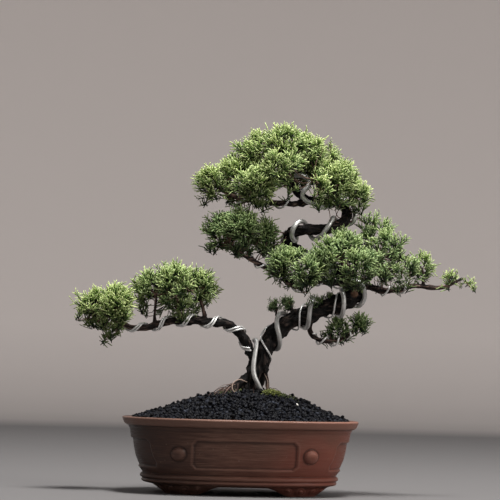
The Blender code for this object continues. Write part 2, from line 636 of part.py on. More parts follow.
def make_clip(name, x):
    """A wire staple that holds the net down through the drain hole."""
    leg = MESH_SIDE / (2 * MESH_HOLES + 1)
    radius = CLIP_WIRE / 2
    top = CLIP_TOP - radius
    under = FOOT_HEIGHT - GAP - radius
    half = [(leg, top), (leg, FLOOR_TOP), (leg, FOOT_HEIGHT), (leg + 0.0006, under), (CLIP_REACH, under)]
    run = [(-across, z) for across, z in reversed(half)] + half
    route = [(x + across, leg, z, radius) for across, z in run]
    place(tube_curve(name, route, rounding=1), aluminium_wire())


# ----------------------------------------------------------------- soil and moss

def soil_height(x, y):
    """The mound: high round the trunk, falling in a soft curve to the pot's wall."""
    length, width = oval_half_sizes(RIM_RADIUS - LIP_WIDTH)
    shift = MOUND_CENTRE * (1 - min(1.0, abs(x) / length))
    outwards = (abs(x - shift) / length) ** OVAL_POWER + (abs(y) / width) ** OVAL_POWER
    ratio = min(1.0, outwards ** (1 / OVAL_POWER))
    return SOIL_EDGE + (SOIL_PEAK - SOIL_EDGE) * (1 - ratio**2) ** 1.45


def box_cutter(name, centre, size):
    bm = bmesh.new()
    bmesh.ops.create_cube(bm, size=1.0)
    bmesh.ops.transform(bm, matrix=Matrix.Translation(centre) @ Matrix.Diagonal((*size, 1)), verts=bm.verts)
    return keep_as_cutter(mesh_object(name, bm))


def make_soil():
    wall = [(inner_radius(z) - GAP, z) for z in INNER_HEIGHTS]
    top_edge = RIM_RADIUS - LIP_WIDTH - GAP
    rings = [top_edge * share for share in (0.0, 0.16, 0.32, 0.48, 0.65, 0.82, 1.0)]
    profile = [(radius, SOIL_EDGE) for radius in rings]
    profile += [(top_edge, LIP_BOTTOM + GAP)] + wall
    profile += [(inner_radius(FLOOR_TOP) - FLOOR_CORNER - GAP, FLOOR_TOP + GAP), (0.0, FLOOR_TOP + GAP)]
    soil = place(turned_oval("soil", profile), granular_soil())
    for vert in soil.data.vertices:
        if vert.co.z > SOIL_EDGE - MERGE:
            vert.co.z = soil_height(vert.co.x, vert.co.y)
    for x in (-DRAIN_PLACE, DRAIN_PLACE):
        hand = "left" if x < 0 else "right"
        room = CLIP_TOP + GAP - FLOOR_TOP + 0.002
        size = (MESH_SIDE + 2 * GAP, MESH_SIDE + 2 * GAP, room)
        centre = (x, 0, CLIP_TOP + GAP - room / 2)
        boolean(soil, box_cutter(f"cut_soil_for_{hand}_net", centre, size), "DIFFERENCE")
    return soil


def moss_mesh(name, grow=0.0):
    x, y = MOSS_PLACE
    size = [half + grow for half in MOSS_SIZE]
    bm = bmesh.new()
    bmesh.ops.create_icosphere(bm, subdivisions=2, radius=1.0)
    at = Matrix.Translation((x, y, soil_height(x, y))) @ Matrix.Diagonal((*size, 1))
    bmesh.ops.transform(bm, matrix=at, verts=bm.verts)
    return mesh_object(name, bm)


# ------------------------------------------------------------------------ the wood

def wood_route(points):
    return smooth_route(points, TRUNK_STEP if points is TRUNK else BRANCH_STEP)


def make_wood():
    """Trunk, limbs and roots grew as one piece, so their tubes are joined into one solid."""
    wood = place(tube_mesh("trunk_and_branches", wood_route(TRUNK)), juniper_bark())
    for name, points in WOOD_BRANCHES.items():
        rounding = 2 if points is LEFT_BRANCH else 1
        limb = tube_mesh(f"join_{name}", wood_route(points), rounding=rounding)
        boolean(wood, keep_as_cutter(limb), "UNION")
    smooth_shade(wood)


# ---------------------------------------------------------------- training wires

def frame_at(route, index):
    """Directions across a route: towards the front (-Y) and a quarter turn on."""
    before, after = max(0, index - 1), min(len(route) - 1, index + 1)
    tangent = Vector(route[after][:3] - route[before][:3]).normalized()
    front = Vector((0, -1, 0))
    front = (front - tangent * front.dot(tangent)).normalized()
    return front, front.cross(tangent)


def wound_route(points, turns_at, diameter, slack):
    """A wire's middle line wound on a limb; turns_at lists (distance along, turns)."""
    limb = smooth_route(points, 0.002)
    spacing = np.linalg.norm(limb[1][:3] - limb[0][:3])
    stations = [station for station, _ in turns_at]
    turned = [turn for _, turn in turns_at]
    count = round((turned[-1] - turned[0]) * WIRE_STEPS)
    route = []
    for turn in np.linspace(turned[0], turned[-1], count + 1):
        place_along = float(np.interp(turn, turned, stations)) / spacing
        index = min(int(place_along), len(limb) - 2)
        share = place_along - index
        middle = limb[index] * (1 - share) + limb[index + 1] * share
        front, side = frame_at(limb, index)
        reach = middle[3] + diameter / 2 + slack
        angle = math.tau * turn
        offset = front * math.cos(angle) * reach + side * math.sin(angle) * reach
        route.append((*(Vector(middle[:3]) + offset), diameter / 2))
    return np.array(route)


def even_turns(start, end, pitch, first_turn):
    """Even winding from one distance along a limb to another."""
    total = (end - start) / abs(pitch)
    return [(start, first_turn), (end, first_turn + math.copysign(total, pitch))]


def branch_windings():
    """Name, limb, winding for each thin wire on the limbs."""
    return [
        ("wire_left_branch_upper", LEFT_BRANCH, even_turns(0.014, 0.134, 0.0215, 0.00)),
        ("wire_left_branch_lower", LEFT_BRANCH, even_turns(0.0115, 0.130, 0.0215, 0.00)),
        ("wire_middle_left_branch", MIDDLE_LEFT_BRANCH, even_turns(0.020, 0.108, 0.0190, 0.10)),
        ("wire_right_branch", RIGHT_BRANCH, even_turns(0.018, 0.046, 0.0150, 0.30)),
        ("wire_lower_right_branch", LOWER_RIGHT_BRANCH, even_turns(0.020, 0.058, 0.0125, 0.05)),
        ("wire_crown_left_branch", CROWN_LEFT_BRANCH, even_turns(0.014, 0.066, 0.0180, 0.40)),
    ]


def make_wires():
    wound = wound_route(TRUNK, THICK_TRUNK_TURNS, THICK_WIRE, WIRE_SLACK)
    hook = [wound[-1]] + [(*point, THICK_WIRE / 2) for point in THICK_WIRE_HOOK]
    thick = np.vstack([wound[:-1], smooth_route(hook, HOOK_STEP)])
    place(tube_curve("wire_trunk_thick", thick, rounding=1), aluminium_wire())
    thin = wound_route(TRUNK, THIN_TRUNK_TURNS, THIN_WIRE, THIN_SLACK)
    place(tube_curve("wire_trunk_thin", thin, rounding=1), aluminium_wire())
    for name, limb, turns in branch_windings():
        route = wound_route(limb, turns, THIN_WIRE, THIN_SLACK)
        place(tube_curve(name, route, rounding=1), aluminium_wire())
    return thick


# -------------------------------------------------------------------- the foliage

def lump_mesh(name, lump, grow=0.0):
    x, y, z, half_width, half_depth, half_height = lump
    size = (half_width + grow, half_depth + grow, half_height + grow)
    bm = bmesh.new()
    bmesh.ops.create_icosphere(bm, subdivisions=2, radius=1.0)
    at = Matrix.Translation((x, y, z)) @ Matrix.Diagonal((*size, 1))
    bmesh.ops.transform(bm, matrix=at, verts=bm.verts)
    return mesh_object(name, bm)


def box_of(lump, room):
    centre, half = np.array(lump[:3]), np.array(lump[3:]) + room
    return centre - half, centre + half


def lump_meets_lump(one, other):
    low, high = box_of(one, GAP)
    other_low, other_high = box_of(other, GAP)
    return bool(np.all(low < other_high) and np.all(other_low < high))


def lump_meets_route(lump, route, room):
    low, high = box_of(lump, room)
    inside = np.all((route[:, :3] > low) & (route[:, :3] < high), axis=1)
    return bool(inside.any())


def make_foliage():
    """Each pad is a few joined lumps, cut clear of the wood, its wires and the pads before it."""
    limbs = {"trunk": (TRUNK, THICK_WIRE + WIRE_SLACK)}
    for name, points in WOOD_BRANCHES.items():
        limbs[name] = (points, THIN_WIRE + THIN_SLACK)
    made = []
    for name, lumps in FOLIAGE.items():
        pad = place(lump_mesh(name, lumps[0]), juniper_foliage())
        for number, lump in enumerate(lumps[1:], start=2):
            boolean(pad, keep_as_cutter(lump_mesh(f"join_{name}_{number}", lump)), "UNION")
        for number, neighbour in enumerate(made):
            if any(lump_meets_lump(lump, neighbour) for lump in lumps):
                cutter = keep_as_cutter(lump_mesh(f"cut_{name}_{number}", neighbour, GAP))
                boolean(pad, cutter, "DIFFERENCE")
        for limb_name, (points, room) in limbs.items():
            route = wood_route(points)
            if any(lump_meets_route(lump, route, PAD_REACH) for lump in lumps):
                cutter = tube_mesh(f"cut_{name}_{limb_name}", route, room + PAD_ROOM)
                boolean(pad, keep_as_cutter(cutter), "DIFFERENCE")
        smooth_shade(pad, 80)
        made += lumps


# -------------------------------------------------------------------------- build

def rest_at_origin():
    """Move everything so that the origin is the bottom centre of the whole object's box."""
    bpy.context.view_layer.update()
    depsgraph = bpy.context.evaluated_depsgraph_get()
    corners = []
    for obj in PARTS.objects:
        seen = obj.evaluated_get(depsgraph)
        mesh = seen.to_mesh()
        corners += [obj.matrix_world @ vert.co for vert in mesh.vertices]
        seen.to_mesh_clear()
    corners = np.array(corners)
    low, high = corners.min(axis=0), corners.max(axis=0)
    centre = (low + high) / 2
    move = Vector((-centre[0], -centre[1], -low[2]))
    for obj in list(PARTS.objects) + list(CUTTERS.objects):
        obj.location += move
    print("moved by", [round(value, 6) for value in move])


def main():
    make_pot()
    for side, hand in ((-1, "left"), (1, "right")):
        make_drain_net(f"drain_net_{hand}", side * DRAIN_PLACE)
        make_clip(f"drain_net_clip_{hand}", side * DRAIN_PLACE)
    soil = make_soil()
    place(moss_mesh("moss_patch"), green_moss())
    boolean(soil, keep_as_cutter(moss_mesh("cut_soil_for_moss", GAP)), "DIFFERENCE")
    make_wood()
    thick = make_wires()
    boolean(soil, keep_as_cutter(tube_mesh("cut_soil_for_trunk", wood_route(TRUNK)[:8], GAP)), "DIFFERENCE")
    for name in ROOTS:
        cutter = tube_mesh(f"cut_soil_for_{name}", wood_route(WOOD_BRANCHES[name]), GAP, rounding=1)
        boolean(soil, keep_as_cutter(cutter), "DIFFERENCE")
    boolean(soil, keep_as_cutter(tube_mesh("cut_soil_for_wire", thick[:6], GAP)), "DIFFERENCE")
    make_foliage()
    rest_at_origin()


main()
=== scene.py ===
# %% [markdown]
# # A wired juniper bonsai in an oval clay pot
# The frame gives the true size and place of every piece: the pot, the soil, the wood, the training
# wires and one plain solid for each foliage pad. This script dresses that frame. It could place its
# pieces by eye, but reading every place from the frame keeps looks and sizes together.

# %% Load the frame
import math

import bmesh
import bpy
import numpy as np
from mathutils import Matrix, Vector
from mathutils import noise as lumpiness
from mathutils.bvhtree import BVHTree


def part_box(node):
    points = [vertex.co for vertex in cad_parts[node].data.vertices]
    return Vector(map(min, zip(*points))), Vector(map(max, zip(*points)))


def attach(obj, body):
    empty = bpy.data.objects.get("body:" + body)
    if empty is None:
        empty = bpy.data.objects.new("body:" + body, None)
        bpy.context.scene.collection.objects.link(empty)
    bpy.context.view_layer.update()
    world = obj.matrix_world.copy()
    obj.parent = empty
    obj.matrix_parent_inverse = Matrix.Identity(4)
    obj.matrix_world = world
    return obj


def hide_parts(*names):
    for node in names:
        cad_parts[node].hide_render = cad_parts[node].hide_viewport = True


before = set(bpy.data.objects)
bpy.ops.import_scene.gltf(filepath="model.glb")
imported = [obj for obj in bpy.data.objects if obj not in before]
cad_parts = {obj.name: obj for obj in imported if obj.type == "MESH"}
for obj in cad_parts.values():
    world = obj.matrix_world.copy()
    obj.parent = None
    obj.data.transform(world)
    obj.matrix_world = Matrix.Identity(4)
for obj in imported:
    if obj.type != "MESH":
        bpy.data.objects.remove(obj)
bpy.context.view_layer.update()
pot_low, pot_high = (Vector(corner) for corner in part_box("pot"))
pot_middle = (pot_low + pot_high) / 2

# %% [markdown]
# ## Helpers for finishes
# Every finish is a small net of shader nodes. A class keeps the material and its nodes together, so
# that each finish below reads as a short recipe: a pattern, a ramp of colours, a layer over it.
# Patterns read Object coordinates, because every piece stands still at the origin.

# %% Shader helpers
def srgb(red, green, blue):
    """A colour as it looks on a screen, 0 to 255, turned into the light values that shaders use."""
    shares = [channel / 255 for channel in (red, green, blue)]
    return (*(s / 12.92 if s <= 0.04045 else ((s + 0.055) / 1.055) ** 2.4 for s in shares), 1)


class Finish:
    """A material built up node by node. Its colours are given as they look on a screen."""

    def __init__(self, name, roughness, metallic=0.0):
        self.material = bpy.data.materials.new(name)
        self.material.use_nodes = True
        self.tree = self.material.node_tree
        self.shader = self.tree.nodes["Principled BSDF"]
        self.set(Roughness=roughness, Metallic=metallic)

    def join(self, value, socket):
        if isinstance(value, bpy.types.NodeSocket):
            self.tree.links.new(value, socket)
        else:
            socket.default_value = value

    def set(self, made=None, **inputs):
        """Join or set sockets by name, on the surface shader unless another node is given."""
        for key, value in inputs.items():
            self.join(value, (made or self.shader).inputs[key.replace("_", " ")])

    def node(self, kind, setup=None, **inputs):
        made = self.tree.nodes.new(kind)
        for key, value in (setup or {}).items():
            setattr(made, key, value)
        self.set(made, **inputs)
        return made

    def place(self, scale=(1, 1, 1), shift=(0, 0, 0)):
        coords = self.node("ShaderNodeTexCoord").outputs["Object"]
        return self.node("ShaderNodeMapping", Vector=coords, Scale=scale, Location=shift).outputs[0]

    def gradient(self, kind, where):
        return self.node("ShaderNodeTexGradient", {"gradient_type": kind}, Vector=where).outputs["Fac"]

    def noise(self, scale, detail, rough, where=None):
        where = where or self.place()
        made = self.node("ShaderNodeTexNoise", Vector=where, Scale=scale, Detail=detail, Roughness=rough)
        return made.outputs["Fac"]

    def read(self, name):
        """A number that the mesh keeps for each vertex."""
        return self.node("ShaderNodeAttribute", {"attribute_name": name}).outputs["Fac"]

    def maths(self, how, first, second):
        made = self.node("ShaderNodeMath", {"operation": how})
        self.join(first, made.inputs[0])
        self.join(second, made.inputs[1])
        return made.outputs[0]

    def light_ramp(self, share, stops):
        made = self.node("ShaderNodeValToRGB", Fac=share)
        elements = made.color_ramp.elements
        elements[0].position, elements[-1].position = stops[0][0], stops[-1][0]
        elements[0].color, elements[-1].color = stops[0][1], stops[-1][1]
        for place, light in stops[1:-1]:
            elements.new(place).color = light
        return made.outputs["Color"]

    def ramp(self, share, *stops):
        """Colours along a ramp: each stop is its place, then red, green and blue."""
        return self.light_ramp(share, [(place, srgb(*colour)) for place, *colour in stops])

    def grey_ramp(self, share, *stops):
        return self.light_ramp(share, [(place, (value, value, value, 1)) for place, value in stops])

    def blend(self, share, first, second, how="MIX"):
        made = self.node("ShaderNodeMix", {"data_type": "RGBA", "blend_type": how})
        for value, socket in ((share, 0), (first, 6), (second, 7)):
            self.join(srgb(*value) if isinstance(value, tuple) else value, made.inputs[socket])
        return made.outputs[2]

    def layer(self, body, share, start, end, colour):
        """Lay a colour over the body, as strongly as a grey ramp with two stops says."""
        return self.blend(self.grey_ramp(share, start, end), body, colour)

    def raise_surface(self, height, distance, strength):
        made = self.node("ShaderNodeBump", Height=height, Distance=distance, Strength=strength)
        self.set(Normal=made.outputs[0])


print("shader helpers ready")

# %% [markdown]
# ## The stage
# A pale round sweep: a floor that curves up into a wall on every side, so that the background stays
# plain from any direction. A flat plane would be simpler, but its far edge would draw a line behind
# the pot. A profile of a few vertices is spun round the middle. The paper is darker near the pot, so
# that it throws less light up at the clay.

# %% Pale sweep
SWEEP_RADIUS = 4.2
SWEEP_BEND = 1.4
SWEEP_HEIGHT = 4.5
WALL_TONE = (207, 199, 195)
FLOOR_TONE = (108, 106, 106)


def put(name, data):
    """A new object for a mesh, camera or lamp, linked to the scene."""
    made = bpy.data.objects.new(name, data)
    bpy.context.scene.collection.objects.link(made)
    return made


def pale_sweep():
    """A bent profile spun once round, with its faces turned inwards."""
    bm = bmesh.new()
    rise = [(SWEEP_RADIUS * share, 0.0) for share in (0.0, 0.2, 0.45)]
    for step in range(13):
        angle = math.pi / 2 * step / 12
        rise.append((
            SWEEP_RADIUS - SWEEP_BEND + SWEEP_BEND * math.sin(angle),
            SWEEP_BEND - SWEEP_BEND * math.cos(angle),
        ))
    rise.append((SWEEP_RADIUS, SWEEP_HEIGHT))
    verts = [bm.verts.new((radius, 0, height)) for radius, height in rise]
    edges = [bm.edges.new(pair) for pair in zip(verts, verts[1:])]
    bmesh.ops.spin(
        bm, geom=verts + edges, cent=(0, 0, 0), axis=(0, 0, 1),
        angle=math.tau, steps=96, use_merge=True,
    )
    bmesh.ops.remove_doubles(bm, verts=bm.verts, dist=1e-5)
    bmesh.ops.reverse_faces(bm, faces=[f for f in bm.faces if f.normal.z < -1e-6])
    mesh = bpy.data.meshes.new("pale_sweep")
    bm.to_mesh(mesh)
    bm.free()
    mesh.shade_smooth()
    paper = Finish("pale_paper", 0.9)
    nearness = paper.gradient("SPHERICAL", paper.place((0.25, 0.25, 0.25)))
    tone = paper.ramp(nearness, (0.12, *WALL_TONE), (0.45, *FLOOR_TONE))
    paper.set(Base_Color=tone, Specular_IOR_Level=0.1)
    mesh.materials.append(paper.material)
    sweep = put("pale_sweep", mesh)


pale_sweep()
print("sweep radius", SWEEP_RADIUS)

# %% [markdown]
# ## Camera and light
# A long lens looks slightly up at the tree from a little above the pot's rim and just left of its
# middle: a short lens close by would show the same outline, but it would swell the nearest pads.
# One broad light overhead, a weaker one from the right and a faint one from the left keep the
# shading gentle, as under an overcast sky.

# %% Camera
LENS = 177.8
CAMERA_FROM_POT = Vector((-0.165, -2.094, 0.103))
PITCH_UP = math.radians(2.83)
TURN_RIGHT = math.radians(0.125)
ROLL = math.radians(1.45)


def long_lens_camera():
    seen = bpy.data.cameras.new("long_lens")
    seen.lens = LENS
    seen.sensor_width = 36
    camera = put("long_lens", seen)
    spot = Vector((pot_middle.x, pot_middle.y, 0)) + CAMERA_FROM_POT
    heading = math.atan2(-CAMERA_FROM_POT.x, -CAMERA_FROM_POT.y) + TURN_RIGHT
    turn = Matrix.Rotation(-heading, 4, "Z") @ Matrix.Rotation(math.pi / 2 + PITCH_UP, 4, "X")
    camera.matrix_world = Matrix.Translation(spot) @ turn @ Matrix.Rotation(ROLL, 4, "Z")
    bpy.context.scene.camera = camera
    return camera


camera = long_lens_camera()
print("camera at", [round(value, 3) for value in camera.location])

# %% Lights
def soft_light(name, spot, target, size, power, colour):
    """A round area light, aimed at a target."""
    lamp = bpy.data.lights.new(name, "AREA")
    lamp.shape = "DISK"
    lamp.size = size
    lamp.energy = power
    lamp.color = colour
    light = put(name, lamp)
    light.location = spot
    light.rotation_euler = (Vector(target) - Vector(spot)).to_track_quat("-Z", "Y").to_euler()


TREE_MIDDLE = (pot_middle.x, 0.0, 0.15)
soft_light("overhead_light", (0.25, -0.55, 2.4), TREE_MIDDLE, 0.6, 100, (1.0, 0.99, 0.97))
soft_light("right_light", (1.9, -1.3, 1.2), TREE_MIDDLE, 0.9, 26, (1.0, 0.97, 0.94))
soft_light("left_light", (-1.8, -1.3, 1.6), TREE_MIDDLE, 1.2, 3, (0.95, 0.98, 1.0))

sky = bpy.data.worlds.new("soft_sky")
sky.use_nodes = True
glow = sky.node_tree.nodes["Background"].inputs
glow["Color"].default_value = (0.93, 0.96, 1.0, 1)
glow["Strength"].default_value = 0.38
bpy.context.scene.world = sky
bpy.context.scene.view_settings.view_transform = "Standard"

# %% [markdown]
# ## Helpers for pieces
# A piece is a mesh with its place baked in, one finish and a body to ride on. Small shapes that
# repeat, such as shoots and grains, could be separate objects, but thousands of objects are slow;
# copying one small mesh many times into one piece keeps them light.

# %% Piece helpers
def free_mesh(name, bm):
    """A mesh made from a bmesh, which is then freed."""
    mesh = bpy.data.meshes.new(name)
    bm.to_mesh(mesh)
    bm.free()
    return mesh


def make_piece(name, mesh, finish, stands_for=()):
    """A piece with its mesh and finish, and the nodes that it stands for."""
    piece = put(name, mesh)
    mesh.materials.clear()
    mesh.materials.append(finish.material)
    mesh.shade_smooth()
    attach(piece, "root")
    if stands_for:
        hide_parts(*stands_for)
    triangles = sum(len(face.vertices) - 2 for face in mesh.polygons)
    print(f"{name}: {triangles} triangles")
    return piece


def refinish(name, finish):
    """Give a node of the frame that stays in sight its own finish."""
    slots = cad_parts[name].data.materials
    slots.clear()
    slots.append(finish.material)


def node_copy(name):
    """A merged bmesh copy of a node of the frame."""
    bm = bmesh.new()
    bm.from_mesh(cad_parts[name].data)
    bmesh.ops.remove_doubles(bm, verts=bm.verts, dist=1e-6)
    return bm


def points_of(bm):
    """The places of a bmesh's vertices, one row each."""
    bm.verts.index_update()
    return np.array([vert.co[:] for vert in bm.verts])


print("the frame has", len(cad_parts), "nodes to dress")

# %% [markdown]
# ## The pot: its profile
# The pot is press-moulded clay: an oval with a heavy lip, a bulging wall, a double roll at the base
# and four low feet. It could be cut from a block, but a pot is a turned shape at heart, so a half
# profile is drawn once, close and smooth, and spun. The round is then pressed into the oval.

# %% Pot profile
RIM = (pot_high.x - pot_low.x) / 2
HALF_WIDTH = (pot_high.y - pot_low.y) / 2
RIM_TOP = pot_high.z
OVAL_POWER = 2.5
WALL_TOP = RIM - 0.0065
LIP_BOTTOM = RIM_TOP - 0.0068
FOOT_HEIGHT = 0.0082
FLOOR_TOP = 0.0142
WALL = 0.006
WALL_SHAPE = [
    (0.0532, 0.0004), (0.0500, 0.0008), (0.0460, 0.0016), (0.0380, 0.0026), (0.0310, 0.0042),
    (0.0250, 0.0066), (0.0205, 0.0094), (0.0172, 0.0118),
]
ROLL_SHAPE = [
    (0.0168, 0.0125), (0.0163, 0.0110), (0.0152, 0.0099), (0.0140, 0.0097), (0.0129, 0.0104),
    (0.0123, 0.0122), (0.0117, 0.0115), (0.0108, 0.0109), (0.0098, 0.0112), (0.0089, 0.0130),
    (0.0084, 0.0160),
]


def wall_radius(height):
    heights, insets = zip(*reversed(WALL_SHAPE))
    return WALL_TOP - float(np.interp(height, heights, insets))


def resample(points, spacing):
    """Even points along a line, ends kept."""
    points = np.array(points)
    run = np.concatenate([[0], np.cumsum(np.linalg.norm(np.diff(points, axis=0), axis=1))])
    count = max(2, round(run[-1] / spacing) + 1)
    at = np.linspace(0, run[-1], count)
    return np.column_stack([np.interp(at, run, points[:, axis]) for axis in range(points.shape[1])])


def rounded(points, rounds):
    """Soften the corners of a close line, ends kept."""
    points = np.array(points)
    for _ in range(rounds):
        points[1:-1] = (points[:-2] + 2 * points[1:-1] + points[2:]) / 4
    return points


inside = [
    (0.0, FLOOR_TOP), (wall_radius(0.0172) - WALL - 0.003, FLOOR_TOP),
    *((wall_radius(height) - WALL, height) for height in (0.019, 0.028, 0.042)),
    (RIM - 0.0085, LIP_BOTTOM),
]
lip = [
    (RIM - 0.0085, LIP_BOTTOM), (RIM - 0.0085, RIM_TOP - 0.0006), (RIM - 0.0078, RIM_TOP),
    (RIM - 0.0008, RIM_TOP), (RIM, RIM_TOP - 0.0007), (RIM - 0.0006, RIM_TOP - 0.0022),
    (RIM - 0.0019, LIP_BOTTOM + 0.0014), (RIM - 0.0034, LIP_BOTTOM),
    (WALL_TOP + 0.0010, LIP_BOTTOM - 0.0004), (WALL_TOP + 0.0010, LIP_BOTTOM - 0.0018),
    (WALL_TOP + 0.0004, LIP_BOTTOM - 0.0022),
]
wall = [(WALL_TOP - 0.0002, LIP_BOTTOM - 0.0026)]
wall += [(wall_radius(height), height) for height in np.linspace(0.0530, 0.0172, 46)]
base = [(WALL_TOP - inset, height) for height, inset in ROLL_SHAPE]
FOOT_TOP, FOOT_BOTTOM = WALL_TOP - 0.0178, WALL_TOP - 0.0262
foot = [
    (FOOT_TOP, FOOT_HEIGHT - 0.0004), (FOOT_TOP - 0.0022, 0.0052), (FOOT_BOTTOM + 0.0010, 0.0010),
    (FOOT_BOTTOM, 0.0),
]
under = [(FOOT_BOTTOM, 0.0), (FOOT_BOTTOM - 0.007, 0.0), (FOOT_BOTTOM - 0.006, FOOT_HEIGHT)]
outside = rounded(np.vstack([
    resample(lip, 0.0007)[:-1], wall, resample(base, 0.0006), resample(foot, 0.0008),
]), 2)
profile = np.vstack([
    resample(inside, 0.0075)[:-1], outside[:-1], resample(under, 0.0020)[:-1],
    resample([under[-1], (0.0, FOOT_HEIGHT)], 0.012),
])
profile[0] = (0.0, FLOOR_TOP)
ROWS_INSIDE = len(resample(inside, 0.0075)) - 1
ROWS_OUTSIDE = range(ROWS_INSIDE, ROWS_INSIDE + len(outside) - 1)
print("profile points", len(profile), "of which outside", len(ROWS_OUTSIDE))

# %% [markdown]
# ## The pot: spin, oval and relief
# The sunk panels, round bosses and cloud feet could be added as separate shapes, but on the real pot
# they are pressed into one skin of clay. So each point of the spun skin is moved in or out by a soft
# height that depends on where it lies on the wall.

# %% Oval
COLUMNS = 600


def ease(share):
    """0 to 1, slow at both ends."""
    share = np.clip(share, 0, 1)
    return share * share * (3 - 2 * share)


def swell(away, wide):
    """A soft ridge: 1 where away is 0, and next to nothing past twice its width."""
    return np.exp(-(away / wide) ** 2)


def oval_xy(radius, angle):
    """Where a point of the round profile goes on the oval."""
    length = radius
    width = radius - (RIM - HALF_WIDTH) * np.minimum(1.0, radius / (RIM - 0.022))
    c, s = np.cos(angle), np.sin(angle)
    power = 2 / OVAL_POWER
    return length * np.sign(c) * np.abs(c) ** power, width * np.sign(s) * np.abs(s) ** power


def even_angles(columns):
    """Angles that space the columns evenly round the oval."""
    fine = np.linspace(0, math.tau, 14401)
    x, y = oval_xy(WALL_TOP, fine)
    run = np.concatenate([[0], np.cumsum(np.hypot(np.diff(x), np.diff(y)))])
    return np.interp(np.arange(columns) / columns * run[-1], run, fine)


print("columns round the pot", len(even_angles(COLUMNS)))

# %% Relief
PANEL = {
    "low": 0.0225, "high": 0.0457, "front": 0.0435, "end": 0.044, "corner": 0.0032,
    "depth": 0.0015, "slope": 0.0015,
}
PANEL_EDGE = {"proud": 0.0003, "outside": 0.0010, "wide": 0.0008}
BOSS = {"place": 0.0548, "height": 0.0341, "radius": 0.0058, "proud": 0.0042}
BOSS_RING = {"deep": 0.0004, "outside": 0.0006, "wide": 0.0006}
SCROLLS = [(0.0600, 0.0035, 0.0040), (0.0480, 0.0042, 0.0044), (0.0375, 0.0050, 0.0030)]
SCROLL_PROUD = 0.0020
SCROLL_GROOVE = {"deep": 0.0011, "wide": 0.0006}
ARCH = {"rise": 0.0070, "front": (0.041, 0.019), "end": (0.025, 0.011)}


def panel_inside(along, height, half):
    """How far inside a sunk panel with cut corners a point lies."""
    middle, tall = (PANEL["low"] + PANEL["high"]) / 2, (PANEL["high"] - PANEL["low"]) / 2
    past_side, past_top = np.abs(along) - half, np.abs(height - middle) - tall
    past_corner = (past_side + past_top + PANEL["corner"]) / math.sqrt(2)
    return -np.maximum(np.maximum(past_side, past_top), past_corner)


def wall_relief(x, y, z, on_front):
    """How far the wall stands out or in: panels, their raised edge and the bosses."""
    along = np.where(on_front, x, y)
    half = np.where(on_front, PANEL["front"], PANEL["end"])
    inside_by = panel_inside(along, z, half)
    relief = -PANEL["depth"] * ease(inside_by / PANEL["slope"] + 0.35)
    relief += PANEL_EDGE["proud"] * swell(inside_by + PANEL_EDGE["outside"], PANEL_EDGE["wide"])
    from_boss = np.hypot(np.abs(x) - BOSS["place"], (z - BOSS["height"]) * 1.02)
    dome = np.sqrt(np.clip(1 - (from_boss / BOSS["radius"]) ** 2, 0, 1))
    relief += np.where(on_front, BOSS["proud"] * dome, 0)
    past_boss = from_boss - BOSS["radius"] - BOSS_RING["outside"]
    return relief - np.where(on_front, BOSS_RING["deep"] * swell(past_boss, BOSS_RING["wide"]), 0)


def cloud_relief(along, z):
    """Rounded scrolls on the feet: bosses with a rolled edge."""
    relief = np.zeros_like(along)
    for place, height, radius in SCROLLS:
        away = np.hypot(np.abs(along) - place, (z - height) * 1.15)
        relief += SCROLL_PROUD * np.sqrt(np.clip(1 - (away / radius) ** 2, 0, 1))
        relief -= SCROLL_GROOVE["deep"] * swell(away - radius * 0.55, SCROLL_GROOVE["wide"])
    return relief


def arch_height(x, y, on_front):
    """How high the clay is cut away between two feet."""
    rises = []
    for along, side in ((x, "front"), (y, "end")):
        springs, crown = ARCH[side]
        rises.append(ARCH["rise"] * ease((springs - np.abs(along)) / (springs - crown)))
    return np.where(on_front, *rises)


print("panels are sunk by", PANEL["depth"] * 1000, "mm, bosses stand out by", BOSS["proud"] * 1000, "mm")

